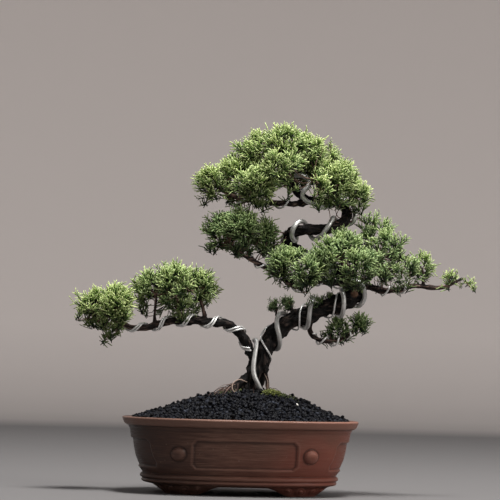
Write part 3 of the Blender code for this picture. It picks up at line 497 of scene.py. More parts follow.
# %% Spin and press the pot
def pot_mesh():
    bm = bmesh.new()
    verts = [bm.verts.new((radius, 0, height)) for radius, height in profile]
    edges = [bm.edges.new(pair) for pair in zip(verts, verts[1:])]
    bmesh.ops.spin(
        bm, geom=verts + edges, cent=(0, 0, 0), axis=(0, 0, 1), angle=math.pi / 2, steps=COLUMNS // 4,
    )
    for axis in "XY":
        whole = [*bm.verts, *bm.edges, *bm.faces]
        bmesh.ops.mirror(bm, geom=whole, matrix=Matrix(), merge_dist=1e-6, axis=axis)
    bmesh.ops.remove_doubles(bm, verts=bm.verts, dist=1e-6)
    round_points = points_of(bm)
    radius = np.hypot(round_points[:, 0], round_points[:, 1])
    z = round_points[:, 2].copy()
    around = np.arctan2(round_points[:, 1], round_points[:, 0])
    column = np.round(around / (math.tau / COLUMNS)).astype(int)
    angle = even_angles(COLUMNS)[column % COLUMNS]
    row = np.argmin((radius[:, None] - profile[:, 0]) ** 2 + (z[:, None] - profile[:, 1]) ** 2, axis=1)
    x, y = oval_xy(radius, angle)
    wall_x, wall_y = oval_xy(WALL_TOP, angle)
    out = np.column_stack([
        np.sign(wall_x) * np.abs(wall_x / RIM) ** (OVAL_POWER - 1) / RIM,
        np.sign(wall_y) * np.abs(wall_y / HALF_WIDTH) ** (OVAL_POWER - 1) / HALF_WIDTH,
    ])
    out /= np.linalg.norm(out, axis=1)[:, None]
    on_front = np.abs(out[:, 1]) > np.abs(out[:, 0])
    outer = np.isin(row, list(ROWS_OUTSIDE))
    relief = np.where(outer & (z > 0.018) & (z < 0.052), wall_relief(x, y, z, on_front), 0)
    scrolls = cloud_relief(np.where(on_front, x, y * 1.3), z)
    relief += np.where(outer & (z < FOOT_HEIGHT) & (z > 0.0004), scrolls, 0)
    x, y = x + out[:, 0] * relief, y + out[:, 1] * relief
    arch = arch_height(x, y, on_front)
    feet = (z < FOOT_HEIGHT) & (radius > FOOT_BOTTOM - 0.0075)
    z = np.where(feet, arch + z * (1 - arch / FOOT_HEIGHT), z)
    for vert, place in zip(bm.verts, np.column_stack([x, y, z])):
        vert.co = place + np.array(pot_middle * Vector((1, 1, 0)))
    bmesh.ops.recalc_face_normals(bm, faces=bm.faces)
    return bm


pot_bm = pot_mesh()
print("pot skin", len(pot_bm.faces), "faces, volume", round(pot_bm.calc_volume() * 1e6, 1), "ml")

# %% [markdown]
# ## The pot: fired clay and drain holes
# Unglazed brown clay, brushed level by a wet sponge. The right end is painted lighter and redder, a
# painted light from the right. The left end is painted dark, a painted shade. Pale specks are partly
# grit and partly painted glints. The finish is stretched noise for the brushing and fine noise for
# grain.
# Each vertex learns how proud it is: its neighbours are averaged, and it is compared with them. Hollows
# get painted shade. Proud edges get a paler colour, partly wear and partly painted highlight. The band
# of the lip is painted lighter, a painted highlight. The two drain holes are cut last, with a Boolean.

# %% Numbers kept on a mesh
def mesh_points(mesh):
    flat = np.empty(len(mesh.vertices) * 3)
    mesh.vertices.foreach_get("co", flat)
    return flat.reshape(-1, 3)


def mesh_normals(mesh):
    flat = np.empty(len(mesh.vertices) * 3)
    mesh.vertex_normals.foreach_get("vector", flat)
    return flat.reshape(-1, 3)


def mesh_pairs(mesh):
    """Each edge taken both ways, as two columns of vertices."""
    flat = np.empty(len(mesh.edges) * 2, int)
    mesh.edges.foreach_get("vertices", flat)
    pairs = flat.reshape(-1, 2)
    return np.vstack([pairs, pairs[:, ::-1]])


def smear(values, pairs, weights, rounds, own=1.0):
    """Let each vertex share its value with its neighbours, some rounds over."""
    values = np.asarray(values, float)
    count = len(values)
    total = np.bincount(pairs[:, 0], weights, count) + own
    for _ in range(rounds):
        gained = [
            np.bincount(pairs[:, 0], weights * column[pairs[:, 1]], count) for column in values.T
        ]
        values = (values * own + np.column_stack(gained)) / total[:, None]
    return values


def store(mesh, name, values):
    """Keep one number for each vertex, for a finish to read."""
    kept = mesh.attributes.new(name, "FLOAT", "POINT")
    kept.data.foreach_set("value", np.asarray(values, np.float32))


def proudness(mesh, rounds, reach):
    """For each vertex, 0 deep in a hollow, half on a flat place and 1 on a proud edge."""
    points, pairs = mesh_points(mesh), mesh_pairs(mesh)
    softened = smear(points, pairs, np.ones(len(pairs)), rounds)
    sunk = ((softened - points) * mesh_normals(mesh)).sum(axis=1)
    return np.clip(0.5 - 0.5 * sunk / reach, 0, 1)


print("numbers can be kept on a mesh and shared between its vertices")

# %% Clay finish
BRUSH = (70, 70, 1300)


def fired_clay():
    clay = Finish("fired_clay", 0.62)
    length = pot_high.x - pot_low.x
    # Share along the pot from its left end to its right end. It places the painted light on the right
    # end and the painted shade on the left end.
    across = clay.gradient("LINEAR", clay.place((1 / length,) * 3, (-pot_low.x / length, 0, 0)))
    proud = clay.read("proud")
    brushing = clay.noise(1.0, 4, 0.6, clay.place(BRUSH))
    broad = clay.noise(9.0, 3, 0.5, clay.place((1, 1, 1.6)))
    body = clay.ramp(brushing, (0.3, 68, 46, 38), (0.5, 90, 64, 54), (0.7, 114, 86, 73))
    # Painted light: a lighter, redder colour is laid over the right end, as if lit from the right. Broad
    # noise varies its redness.
    painted_lit_side = clay.ramp(broad, (0.38, 104, 72, 60), (0.6, 134, 70, 56))
    body = clay.layer(body, across, (0.35, 0.05), (0.9, 0.75), painted_lit_side)
    # Painted shade: the hollows are darkened.
    body = clay.layer(body, proud, (0.1, 0.5), (0.46, 0.0), (26, 16, 14))
    # Paler proud edges: partly wear, partly a painted highlight.
    body = clay.layer(body, proud, (0.6, 0.0), (1.0, 0.3), (140, 104, 90))
    # Painted shade: the left end is darkened, as if turned away from the light.
    body = clay.layer(body, across, (0.0, 0.94), (0.38, 0.0), (22, 11, 8))
    # Painted highlight: the band of the lip is painted lighter.
    body = clay.blend(clay.maths("MULTIPLY", clay.read("lip"), 0.38), body, (142, 108, 94))
    # Pale specks: partly grit, partly painted glints.
    body = clay.layer(body, clay.noise(420, 1, 0.5), (0.74, 0.0), (0.79, 0.6), (120, 98, 86))
    roughness = clay.grey_ramp(brushing, (0.36, 0.36), (0.64, 0.60))
    clay.set(Base_Color=body, Roughness=roughness, Specular_IOR_Level=0.26)
    grain = clay.maths("MULTIPLY", clay.noise(1500, 2, 0.6), 0.4)
    clay.raise_surface(clay.maths("ADD", clay.maths("MULTIPLY", brushing, 0.8), grain), 0.00035, 0.8)
    return clay


pot = make_piece("clay_pot", free_mesh("clay_pot", pot_bm), fired_clay(), ["pot"])

# %% Drain holes
DRAIN_PLACE = 0.045
DRAIN_RADIUS = 0.0075


def drain_cutter():
    bm = bmesh.new()
    for side in (-DRAIN_PLACE, DRAIN_PLACE):
        at = Matrix.Translation((pot_middle.x + side, 0, (FLOOR_TOP + FOOT_HEIGHT) / 2))
        bmesh.ops.create_cone(
            bm, cap_ends=True, segments=40, radius1=DRAIN_RADIUS, radius2=DRAIN_RADIUS, depth=0.02,
            matrix=at,
        )
    return put("drain_cutter", free_mesh("drain_cutter", bm))


def settle(piece):
    """Apply a piece's modifiers."""
    seen = piece.evaluated_get(bpy.context.evaluated_depsgraph_get())
    settled = bpy.data.meshes.new_from_object(seen)
    piece.modifiers.clear()
    piece.data = settled


cutter = drain_cutter()
holes = pot.modifiers.new("drain_holes", "BOOLEAN")
holes.object = cutter
holes.operation = "DIFFERENCE"
settle(pot)
bpy.data.objects.remove(cutter)
# How proud each vertex is. From it the finish paints shade into the hollows and a paler colour onto
# proud edges.
store(pot.data, "proud", proudness(pot.data, 8, 0.00045))
# Where the lip band is, for the painted highlight on it.
store(pot.data, "lip", ease((mesh_points(pot.data)[:, 2] - LIP_BOTTOM + 0.0004) / 0.0012))
print("pot with drain holes", len(pot.data.polygons), "faces")

# %% [markdown]
# ## The soil
# Bonsai soil is a sifted black grit: hard grains about 3 mm across. A bumpy finish on the mound
# would look flat at its edge, so real grains are laid over it, each a small cut cube pushed out
# of true. The frame's own mound stays beneath them in a darker finish, to fill the gaps.

# %% Grit finish
# Painted glints: the top of the grit's ramp is a pale bluish colour that stands for highlights on the
# grains.
PAINTED_GLINT = (54, 58, 68)


def black_grit(name, dark, light):
    grit = Finish(name, 0.45)
    own = grit.maths("MULTIPLY", grit.read("tone"), 0.6)
    tone = grit.maths("ADD", own, grit.maths("MULTIPLY", grit.noise(260, 2, 0.5), 0.5))
    colour = grit.ramp(tone, (0.2, *dark), (0.75, *light), (0.95, *PAINTED_GLINT))
    grit.set(Base_Color=colour, Specular_IOR_Level=0.12)
    grit.raise_surface(grit.noise(1900, 3, 0.7), 0.0004, 0.9)
    return grit


refinish("soil", black_grit("damp_grit", (9, 9, 12), (20, 20, 25)))
loose_grit = black_grit("loose_grit", (5, 5, 7), (17, 18, 24))
print("grit finishes made")

# %% Copies of a small shape
class Stencil:
    """A small triangulated shape, with numbers on its vertices, to be copied many times."""

    def __init__(self, bm, numbers):
        bmesh.ops.triangulate(bm, faces=bm.faces)
        self.places = points_of(bm)
        self.faces = np.array([[vert.index for vert in face.verts] for face in bm.faces])
        self.numbers = numbers(self.places)
        bm.free()


def copies_mesh(name, stencils, copies, kept):
    """One mesh of many copies. Each copy is (stencil, 3x3 turn and size, place, its own numbers)."""
    places, faces, numbers, start = [], [], [], 0
    for which, turn, place, own in copies:
        stencil = stencils[which]
        places.append(stencil.places @ turn.T + place)
        faces.append(stencil.faces + start)
        spread = np.tile(own, (len(stencil.places), 1))
        numbers.append(np.hstack([stencil.numbers, spread]))
        start += len(stencil.places)
    mesh = bpy.data.meshes.new(name)
    mesh.from_pydata(np.vstack(places), [], np.vstack(faces))
    numbers = np.vstack(numbers)
    for column, label in enumerate(kept):
        store(mesh, label, numbers[:, column])
    mesh.update()
    return mesh


def turn_towards(direction, spin):
    """A 3x3 turn that takes +Z to a direction, after a spin about it."""
    axis = Vector(direction).normalized()
    side = Vector((1, 0, 0)) if abs(axis.x) < 0.9 else Vector((0, 1, 0))
    across = axis.cross(side).normalized()
    other = axis.cross(across)
    turn = Matrix((across, other, axis)).transposed()
    return np.array(turn @ Matrix.Rotation(spin, 3, "Z"))


def grain_stencil(seed):
    draw = np.random.default_rng(seed)
    bm = bmesh.new()
    bmesh.ops.create_cube(bm, size=2.0)
    bmesh.ops.subdivide_edges(bm, edges=bm.edges, cuts=1, use_grid_fill=True)
    for vert in bm.verts:
        reach = vert.co.length
        vert.co *= (0.45 + 0.55 / reach) * draw.uniform(0.84, 1.12)
    return Stencil(bm, lambda places: np.empty((len(places), 0)))


grain_shapes = [grain_stencil(seed) for seed in range(5)]
print("triangles in each grain", [len(shape.faces) for shape in grain_shapes])

# %% Grains
GRAIN_SPACING = 0.00245
GRAIN_SIZES = (0.00095, 0.00185)
UPPER_GRAINS = 0.16


def node_surface(name):
    return BVHTree.FromBMesh(node_copy(name))


def lay_grains():
    """Grains on a jittered grid, clear of the wood and wire, with a few loose ones on top."""
    draw = np.random.default_rng(11)
    mound, wood_skin = node_surface("soil"), node_surface("trunk_and_branches")
    wire_skin = node_surface("wire_trunk_thick")
    low, high = (np.array(corner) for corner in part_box("soil"))
    drop = Vector((0, 0, -1))
    copies = []
    for x in np.arange(low[0], high[0], GRAIN_SPACING):
        for y in np.arange(low[1], high[1], GRAIN_SPACING):
            spot = np.array([x, y]) + draw.uniform(-0.8, 0.8, 2) * GRAIN_SPACING * 0.55
            hit, normal, _, _ = mound.ray_cast(Vector((*spot, high[2] + 0.02)), drop)
            if hit is None or hit.z < LIP_BOTTOM or normal.z < 0.5:
                continue
            size = draw.uniform(*GRAIN_SIZES)
            if min(wood_skin.find_nearest(hit)[3], wire_skin.find_nearest(hit)[3]) < size * 0.8:
                continue
            turn = turn_towards(draw.normal(size=3), draw.uniform(0, 6))
            turn = turn * (draw.uniform(0.8, 1.2, 3) * size)
            place = np.array(hit) + (0, 0, size * draw.uniform(0.0, 0.9))
            copies.append((draw.integers(len(grain_shapes)), turn, place, (draw.random(),)))
            if draw.random() < UPPER_GRAINS:
                upper = place + (*draw.uniform(-0.6, 0.6, 2) * size, size * draw.uniform(1.1, 1.5))
                copies.append((draw.integers(len(grain_shapes)), turn * 0.85, upper, (draw.random(),)))
    return copies


grains = lay_grains()
grain_mesh = copies_mesh("soil_grains", grain_shapes, grains, ["tone"])
make_piece("soil_grains", grain_mesh, loose_grit)
print("grains", len(grains))

# %% [markdown]
# ## The training wires
# Soft aluminium wire, one thick length on the trunk and thin ones on the limbs. Each wire could be
# drawn again by hand, but the frame already holds its route: its tube is a chain of rings, so
# counting steps along the mesh from its far end finds each ring, and the ring's middle is on
# the route. A round tube then follows a smooth curve through those middles.

# %% Find the route in a tube
def steps_from(start, neighbours, count):
    """How many edges each vertex is from the start."""
    steps = np.full(count, -1)
    steps[start] = 0
    front = [start]
    while front:
        reached = []
        for vert in front:
            for other in neighbours[vert]:
                if steps[other] < 0:
                    steps[other] = steps[vert] + 1
                    reached.append(other)
        front = reached
    return steps


def wire_route(name):
    bm = node_copy(name)
    places = points_of(bm)
    neighbours = [[edge.other_vert(vert).index for edge in vert.link_edges] for vert in bm.verts]
    first = int(np.argmax(steps_from(0, neighbours, len(places))))
    from_first = steps_from(first, neighbours, len(places))
    last = int(np.argmax(from_first))
    from_last = steps_from(last, neighbours, len(places))
    total = from_first.max()
    ring = np.where(from_first > from_last, from_first, total - from_last)
    route, thickness = [], []
    for number in range(total + 1):
        members = places[ring == number]
        if len(members) < 3:
            continue
        middle = members.mean(axis=0)
        route.append(middle)
        thickness.append(np.linalg.norm(members - middle, axis=1).max())
    bm.free()
    return np.array(route), float(np.median(thickness))


def smooth_line(points, per_stretch):
    """A smooth curve through every point."""
    padded = np.vstack([2 * points[0] - points[1], points, 2 * points[-1] - points[-2]])
    shares = np.linspace(0, 1, per_stretch, endpoint=False)[:, None]
    line = []
    for a, b, c, d in zip(padded, padded[1:], padded[2:], padded[3:]):
        line.append(0.5 * (2 * b + (c - a) * shares + (2 * a - 5 * b + 4 * c - d) * shares**2
                           + (3 * b - a - 3 * c + d) * shares**3))
    return np.vstack([*line, points[-1:]])


for name in ("wire_trunk_thick", "wire_trunk_thin"):
    route, thickness = wire_route(name)
    print(name, len(route), "rings, half thickness", round(thickness * 1000, 2), "mm")

# %% Wire finish
def dull_aluminium(name, darker, lighter):
    metal = Finish(name, 0.38, 0.6)
    stain = metal.noise(520, 4, 0.65)
    body = metal.ramp(metal.noise(140, 3, 0.6), (0.3, *darker), (0.7, *lighter))
    body = metal.layer(body, stain, (0.58, 0.0), (0.78, 0.5), (96, 90, 82))
    metal.set(Base_Color=body, Roughness=metal.grey_ramp(stain, (0.3, 0.34), (0.75, 0.62)))
    metal.raise_surface(metal.noise(900, 3, 0.6), 0.0001, 0.6)
    return metal


thick_finish = dull_aluminium("dull_aluminium", (184, 184, 181), (226, 226, 224))
thin_finish = dull_aluminium("pale_aluminium", (226, 226, 224), (250, 250, 248))
print("wire finishes made")

# %% Draw the wires
THICK_FROM = 0.0015


def add_tube(bm, line, radii, sides):
    """A round tube along a line: a ring of vertices is carried along it and joined at each step."""
    tangents = np.gradient(line, axis=0)
    tangents /= np.linalg.norm(tangents, axis=1)[:, None]
    across = np.cross(tangents[0], (0.3, -0.9, 0.2))
    rings = []
    for place, along, radius in zip(line, tangents, radii):
        across = across - along * (across @ along)
        across /= np.linalg.norm(across)
        turn = Matrix(np.column_stack([across, np.cross(along, across), along]).tolist()).to_4x4()
        at = Matrix.Translation(place) @ turn
        made = bmesh.ops.create_circle(bm, segments=sides, radius=radius, matrix=at)
        rings.append(made["verts"])
    for ring, following in zip(rings, rings[1:]):
        for index in range(sides):
            after = (index + 1) % sides
            bm.faces.new((ring[index], ring[after], following[after], following[index]))
    bm.faces.new(list(reversed(rings[0])))
    bm.faces.new(rings[-1])


def draw_wire(name, seed):
    draw = np.random.default_rng(seed)
    route, thickness = wire_route(name)
    thick = thickness > THICK_FROM
    line = smooth_line(route, 5 if thick else 4)
    print(name, "runs", round(np.linalg.norm(np.diff(line, axis=0), axis=1).sum() * 1000), "mm")
    wobble = rounded(draw.normal(size=(len(line), 1)), 4)[:, 0] * 0.03
    radii = thickness * (0.985 + wobble)
    radii[[0, -1]] *= 0.86
    bm = bmesh.new()
    add_tube(bm, line, radii, 14 if thick else 9)
    bmesh.ops.recalc_face_normals(bm, faces=bm.faces)
    finish = thick_finish if thick else thin_finish
    make_piece(f"drawn_{name}", free_mesh(name, bm), finish, [name])


for seed, name in enumerate(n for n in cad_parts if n.startswith("wire_")):
    draw_wire(name, seed)

# %% [markdown]
# ## The wood
# Juniper bark is dark and stringy: long strips that follow the limb and lift at their edges. A
# stretched noise would run straight through every bend, so the bark is grown on the surface instead.
# The frame's wood is remeshed close, each vertex learns which way its limb runs, and a random
# value is smeared along that way until it turns into strips, which then raise the surface.

# %% Remesh the wood
WOOD_CELL = 0.00068


def close_wood():
    bm = node_copy("trunk_and_branches")
    rough = put("rough_wood", free_mesh("rough_wood", bm))
    remesh = rough.modifiers.new("close", "REMESH")
    remesh.mode = "VOXEL"
    remesh.voxel_size = WOOD_CELL
    settle(rough)
    mesh = rough.data
    bpy.data.objects.remove(rough)
    return mesh


wood_mesh = close_wood()
wood_points = mesh_points(wood_mesh)
wood_pairs = mesh_pairs(wood_mesh)
even = np.ones(len(wood_pairs))
wood_points = smear(wood_points, wood_pairs, even, 3)
wood_mesh.vertices.foreach_set("co", wood_points.ravel())
wood_mesh.update()
print("wood vertices", len(wood_points))

# %% Which way each limb runs, and how thick it is
wood_out = mesh_normals(wood_mesh)
pairs_of_axes = [(0, 0), (0, 1), (0, 2), (1, 1), (1, 2), (2, 2)]
spread_of_normals = np.column_stack([wood_out[:, a] * wood_out[:, b] for a, b in pairs_of_axes])
spread_of_normals = smear(spread_of_normals, wood_pairs, even, 36)
tables = np.empty((len(wood_points), 3, 3))
for column, (a, b) in enumerate(pairs_of_axes):
    tables[:, a, b] = tables[:, b, a] = spread_of_normals[:, column]
limb_way = np.linalg.eigh(tables)[1][:, :, 0]

wood_bm = bmesh.new()
wood_bm.from_mesh(wood_mesh)
wood_skin = BVHTree.FromBMesh(wood_bm)
wood_bm.free()
across = np.full((len(wood_points), 1), 0.002)
for index, (place, out) in enumerate(zip(wood_points, wood_out)):
    hit = wood_skin.ray_cast(Vector(place - out * 0.0002), Vector(-out))
    if hit[0] is not None:
        across[index] = min(hit[3], 0.03)
limb_thickness = smear(across, wood_pairs, even, 12)[:, 0]
thinnest, thickest = (round(value * 1000, 2) for value in (limb_thickness.min(), limb_thickness.max()))
print("limb thickness", thinnest, "to", thickest, "mm")

# %% Grow the bark
PRUNED_STUB = (0.0668, -0.0085, 0.1725)
draw = np.random.default_rng(5)


def strips(width_rounds, length_rounds):
    """Random values smeared along the limb, from -1 to 1 or so."""
    value = draw.normal(size=(len(wood_points), 1))
    value = smear(value, wood_pairs, even, width_rounds)
    step = wood_points[wood_pairs[:, 1]] - wood_points[wood_pairs[:, 0]]
    step /= np.linalg.norm(step, axis=1)[:, None] + 1e-12
    along = np.abs((step * limb_way[wood_pairs[:, 0]]).sum(axis=1)) ** 8 + 0.004
    value = smear(value, wood_pairs, along, length_rounds, own=0.25)[:, 0]
    return value / value.std()


lumps = smear(draw.normal(size=(len(wood_points), 1)), wood_pairs, even, 40)[:, 0]
lumps /= lumps.std()
broad_strips, fine_strips = strips(2, 12), strips(0, 7)
bark = 0.62 * broad_strips + 0.38 * fine_strips
age = np.clip((limb_thickness - 0.0022) / 0.008, 0, 1)
lift = np.clip(limb_thickness * 0.060, 0.00006, 0.00072) * np.clip(bark, -1.6, 1.9)
lift += np.clip(limb_thickness * 0.065, 0, 0.0011) * np.clip(lumps, -1.8, 1.8)
raised = wood_points + wood_out * lift[:, None]
wood_mesh.vertices.foreach_set("co", raised.ravel())
wood_mesh.update()
from_stub = np.linalg.norm(wood_points - PRUNED_STUB, axis=1)
store(wood_mesh, "bark", np.clip(bark * 0.25 + 0.5, 0, 1))
store(wood_mesh, "age", age)
store(wood_mesh, "fresh_cut", ease(1.5 - from_stub / 0.0036))
print("bark raised by up to", round(lift.max() * 1000, 2), "mm")

# %% Bark finish
def stringy_bark():
    wood = Finish("stringy_bark", 0.82)
    strip = wood.read("bark")
    fleck = wood.noise(700, 4, 0.65)
    old = wood.ramp(strip, (0.2, 4, 4, 4), (0.48, 12, 10, 10), (0.66, 26, 21, 20), (0.9, 78, 66, 60))
    young = wood.ramp(
        strip, (0.2, 16, 11, 10), (0.48, 50, 37, 33), (0.75, 122, 98, 88), (1.0, 176, 156, 142),
    )
    body = wood.layer(young, wood.read("age"), (0.05, 0.0), (0.5, 1.0), old)
    body = wood.layer(body, wood.noise(70, 3, 0.6), (0.6, 0.0), (0.85, 0.3), (52, 36, 30))
    body = wood.layer(body, fleck, (0.60, 0.0), (0.78, 0.5), (22, 17, 16))
    bare = wood.ramp(fleck, (0.3, 84, 60, 48), (0.7, 142, 110, 88))
    wood.set(Base_Color=wood.blend(wood.read("fresh_cut"), body, bare), Specular_IOR_Level=0.3)
    wood.raise_surface(fleck, 0.0007, 1.0)
    return wood


bark_finish = stringy_bark()
make_piece("juniper_wood", wood_mesh, bark_finish, ["trunk_and_branches"])

# %% [markdown]
# ## The foliage: one shoot
# This juniper has scale leaves: each shoot is a thin green cord that forks again and again. Single
# leaves would be too small to see. One spray is a stem with a few plump pointed side shoots, each
# only three-sided because thousands are needed. Every vertex keeps how near it is to a tip, since
# the tips are this year's yellow-green growth. The same number paints the spray's base near-black,
# a painted shade for the inside of the pad.

# %% Spray of shoots
SPRAY_LENGTH = 0.0110
SHOOT_RADIUS = 0.00058


def add_shoot(bm, foot, way, length, radius, bend):
    """A three-sided blunt shoot, fattest near its tip, where it bends over."""
    made = bmesh.ops.create_cone(
        bm, cap_ends=True, segments=3, radius1=radius * 0.75, radius2=1e-7, depth=length,
        matrix=Matrix.Translation((0, 0, length / 2)),
    )
    verts = made["verts"]
    edges = list({edge for vert in verts for edge in vert.link_edges})
    faces = list({face for vert in verts for face in vert.link_faces})
    cut = bmesh.ops.bisect_plane(
        bm, geom=verts + edges + faces, plane_co=(0, 0, length * 0.86), plane_no=(0, 0, 1),
    )
    belly = [item for item in cut["geom_cut"] if isinstance(item, bmesh.types.BMVert)]
    for vert in belly:
        vert.co.x *= 8.8
        vert.co.y *= 8.8
    verts = list(set(verts) | set(belly))
    turn = Matrix(turn_towards(way, 0.7 * len(bm.verts)).tolist())
    for vert in verts:
        share = vert.co.z / length
        vert.co = turn @ vert.co + Vector(foot) + Vector(bend) * share * share
    return verts


def spray_stencil(seed, side_shoots, length=SPRAY_LENGTH):
    draw = np.random.default_rng(seed)
    bm = bmesh.new()
    lean = draw.normal(size=3) * (0.0018, 0.0018, 0.0)
    add_shoot(bm, (0, 0, 0), (0, 0, 1), length, SHOOT_RADIUS, lean)
    face_turn = draw.uniform(0, math.tau)
    for number in range(side_shoots):
        share = 0.14 + 0.68 * number / max(1, side_shoots - 1)
        side = face_turn + math.pi * number + draw.normal() * 0.75
        spread = draw.uniform(0.55, 1.00)
        way = (math.sin(spread) * math.cos(side), math.sin(spread) * math.sin(side), math.cos(spread))
        reach = length * draw.uniform(0.42, 0.70) * (1.15 - 0.45 * share)
        foot = np.array([0, 0, length * share]) + lean * share * share
        add_shoot(bm, foot, way, reach, SHOOT_RADIUS, (0, 0, reach * 0.30))
    bmesh.ops.remove_doubles(bm, verts=bm.verts, dist=1e-6)

    def tip_numbers(places):
        away = np.hypot(places[:, 0], places[:, 1])
        return np.clip(0.60 * places[:, 2] / length + 0.50 * away / (0.4 * length) - 0.08, 0, 1)[:, None]

    return Stencil(bm, tip_numbers)


sprays = [spray_stencil(seed, shoots) for seed, shoots in enumerate((4, 3, 5, 4, 3, 5))]
print("triangles in each spray", [len(spray.faces) for spray in sprays])

# %% [markdown]
# ## The foliage: tufts in a pad
# A pad is not a ball of leaves: it is a crowd of tufts, each at the end of a twig, with dark gaps
# between them. Scattering sprays evenly would lose those gaps. So tuft ends are spread over the
# pad's skin, a little apart, and each gets a fan of sprays that starts inside the pad. A window is
# left in the crown, where the end of the thick wire shows as a hook.

# %% Random places on a skin
PLACES_TRIED = 5000


def skin_samples(bm, count, draw):
    """Random places on a mesh, even by area, with the way each faces."""
    bmesh.ops.triangulate(bm, faces=bm.faces)
    corners = np.array([[vert.co[:] for vert in face.verts] for face in bm.faces])
    facing = np.array([face.normal[:] for face in bm.faces])
    areas = np.array([face.calc_area() for face in bm.faces])
    chosen = draw.choice(len(areas), count, p=areas / areas.sum())
    a, b = draw.random((2, count, 1))
    over = (a + b) > 1
    a, b = np.where(over, 1 - a, a), np.where(over, 1 - b, b)
    tri = corners[chosen]
    places = tri[:, 0] + a * (tri[:, 1] - tri[:, 0]) + b * (tri[:, 2] - tri[:, 0])
    return places, facing[chosen]


print("places tried on each pad", PLACES_TRIED)

# %% The window in front of the hook
HOOK = {"above": 0.2525, "left_of": 0.034, "in_front_of": 0.002, "clear": 0.0066}
thick_wire = wire_route("wire_trunk_thick")[0]
hook = thick_wire[(thick_wire[:, 2] > HOOK["above"]) & (thick_wire[:, 0] < HOOK["left_of"])]


def hides_hook(root, tip):
    """Whether a tuft stands in front of the hook at the end of the thick wire."""
    gaps = (np.linspace(root, tip, 5)[:, None] - hook)[:, :, (0, 2)]
    return tip[1] < HOOK["in_front_of"] and np.linalg.norm(gaps, axis=2).min() < HOOK["clear"]


print("the hook is", round(np.ptp(hook[:, 2]) * 1000, 1), "mm high")

# %% Spread tufts over a pad
TUFT_SPACING = 0.0060
DEEPEST_TUFT = 0.0125
CLEAR_OF_WOOD = 0.0035
FULLNESS = {
    "foliage_right_tip": 0.40, "foliage_right": 0.32, "foliage_middle_right": 0.36,
    "foliage_trunk_sprigs": 1.7, "foliage_lower_right": 0.5, "foliage_middle_center": 0.7,
    "foliage_middle_front": 0.75,
}
LUMP_SIZE = 0.013
HOLLOW = -0.22


def pad_tufts(name, seed):
    """Each tuft is (root, way it points, how long, how much it sees the sky)."""
    draw = np.random.default_rng(seed)
    bm = node_copy(name)
    skin = BVHTree.FromBMesh(bm)
    places, facing = skin_samples(bm, PLACES_TRIED, draw)
    bm.free()
    low, high = (np.array(corner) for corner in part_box(name))
    spacing = TUFT_SPACING / math.sqrt(FULLNESS.get(name, 1.0))
    kept, spots = [], np.empty((0, 3))
    for place, out in zip(places, facing):
        level = (place[2] - low[2]) / (high[2] - low[2])
        lump = lumpiness.noise(Vector(place) / LUMP_SIZE)
        if draw.random() < 0.95 * ease((0.22 - out[2]) / 0.75) * ease((0.66 - level) / 0.35):
            continue
        if lump < HOLLOW and draw.random() < 0.75:
            continue
        if len(kept) and np.linalg.norm(spots - place, axis=1).min() < spacing * draw.uniform(0.8, 1.3):
            continue
        if wood_skin.find_nearest(Vector(place + out * 0.002))[3] < CLEAR_OF_WOOD:
            continue
        depth = skin.ray_cast(Vector(place - out * 0.0003), Vector(-out))[3] or 0.008
        depth = min(DEEPEST_TUFT, depth * 0.55)
        way = out * (0.8, 0.8, 0.8 if out[2] > 0 else 0.25) + (0, 0, 0.60) + draw.normal(size=3) * 0.22
        way /= np.linalg.norm(way)
        sky = np.clip(0.3 + 0.4 * out[2] + 0.45 * level, 0, 1)
        root = place - way * depth
        reach = depth + draw.uniform(-0.0022, 0.0006) + min(0.0, 0.006 * lump)
        if hides_hook(root, place):
            continue
        kept.append((root, way, reach, sky))
        spots = np.vstack([spots, place])
    return kept


tufts = {}
for seed, name in enumerate(sorted(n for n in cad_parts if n.startswith("foliage_"))):
    tufts[name] = pad_tufts(name, 100 + seed)
    print(name, len(tufts[name]), "tufts")

# %% Loose tufts on the trunk
def trunk_top_tufts():
    """A few loose tufts that grow straight from the upper side of the trunk."""
    draw = np.random.default_rng(91)
    kept = []
    for along in np.linspace(0.027, 0.045, 6):
        above = Vector((along, draw.uniform(-0.007, 0.002), 0.178))
        hit = wood_skin.ray_cast(above, Vector((0, 0, -1)))[0]
        way = draw.normal(size=3) * (0.6, 0.5, 0.1) + (0, 0, 0.75)
        way /= np.linalg.norm(way)
        kept.append((np.array(hit) + way * 0.0028, way, draw.uniform(0.0045, 0.0065), 0.35))
    return kept


tufts["foliage_trunk_top"] = trunk_top_tufts()
print("trunk top", len(tufts["foliage_trunk_top"]), "tufts")

# %% Foliage finish
def juniper_green():
    green = Finish("juniper_green", 0.55)
    tip = green.read("tip")
    # The tip ramps: this year's yellow-green growth at the tips, and near-black at the spray's base, a
    # painted shade for the inside of the pad.
    fresh_tips_shaded_bases = green.ramp(
        tip, (0.0, 15, 22, 14), (0.25, 60, 86, 42), (0.52, 140, 172, 82), (0.88, 222, 236, 160),
    )
    bluish = green.ramp(tip, (0.0, 10, 18, 12), (0.35, 50, 76, 46), (0.85, 142, 170, 116))
    body = green.layer(bluish, green.read("tone"), (0.15, 0.0), (0.85, 1.0), fresh_tips_shaded_bases)
    shade = green.grey_ramp(green.read("sky"), (0.0, 0.34), (0.75, 1.0))
    body = green.blend(1.0, body, shade, "MULTIPLY")
    scales = green.noise(1300, 2, 0.6)
    body = green.layer(body, scales, (0.35, 0.3), (0.65, 0.0), (44, 70, 40))
    green.set(Base_Color=body, Specular_IOR_Level=0.35)
    green.raise_surface(scales, 0.0002, 0.7)
    return green


green_finish = juniper_green()
print("foliage finish made")

# %% Fan the sprays
SPRAYS_IN_TUFT = 5
SIDE_SHOOT_LEAD = 0.0016
YELLOWNESS = {
    "foliage_left_outer": 1.0, "foliage_left_inner": 0.65, "foliage_middle_left": 0.2,
    "foliage_middle_center": 0.35, "foliage_middle_front": 0.3, "foliage_middle_right": 0.35,
    "foliage_right": 0.6, "foliage_right_tip": 0.9, "foliage_lower_right": 0.1,
    "foliage_trunk_sprigs": 0.1, "foliage_trunk_top": 0.1,
}
LONG_SHOOT = 0.0022


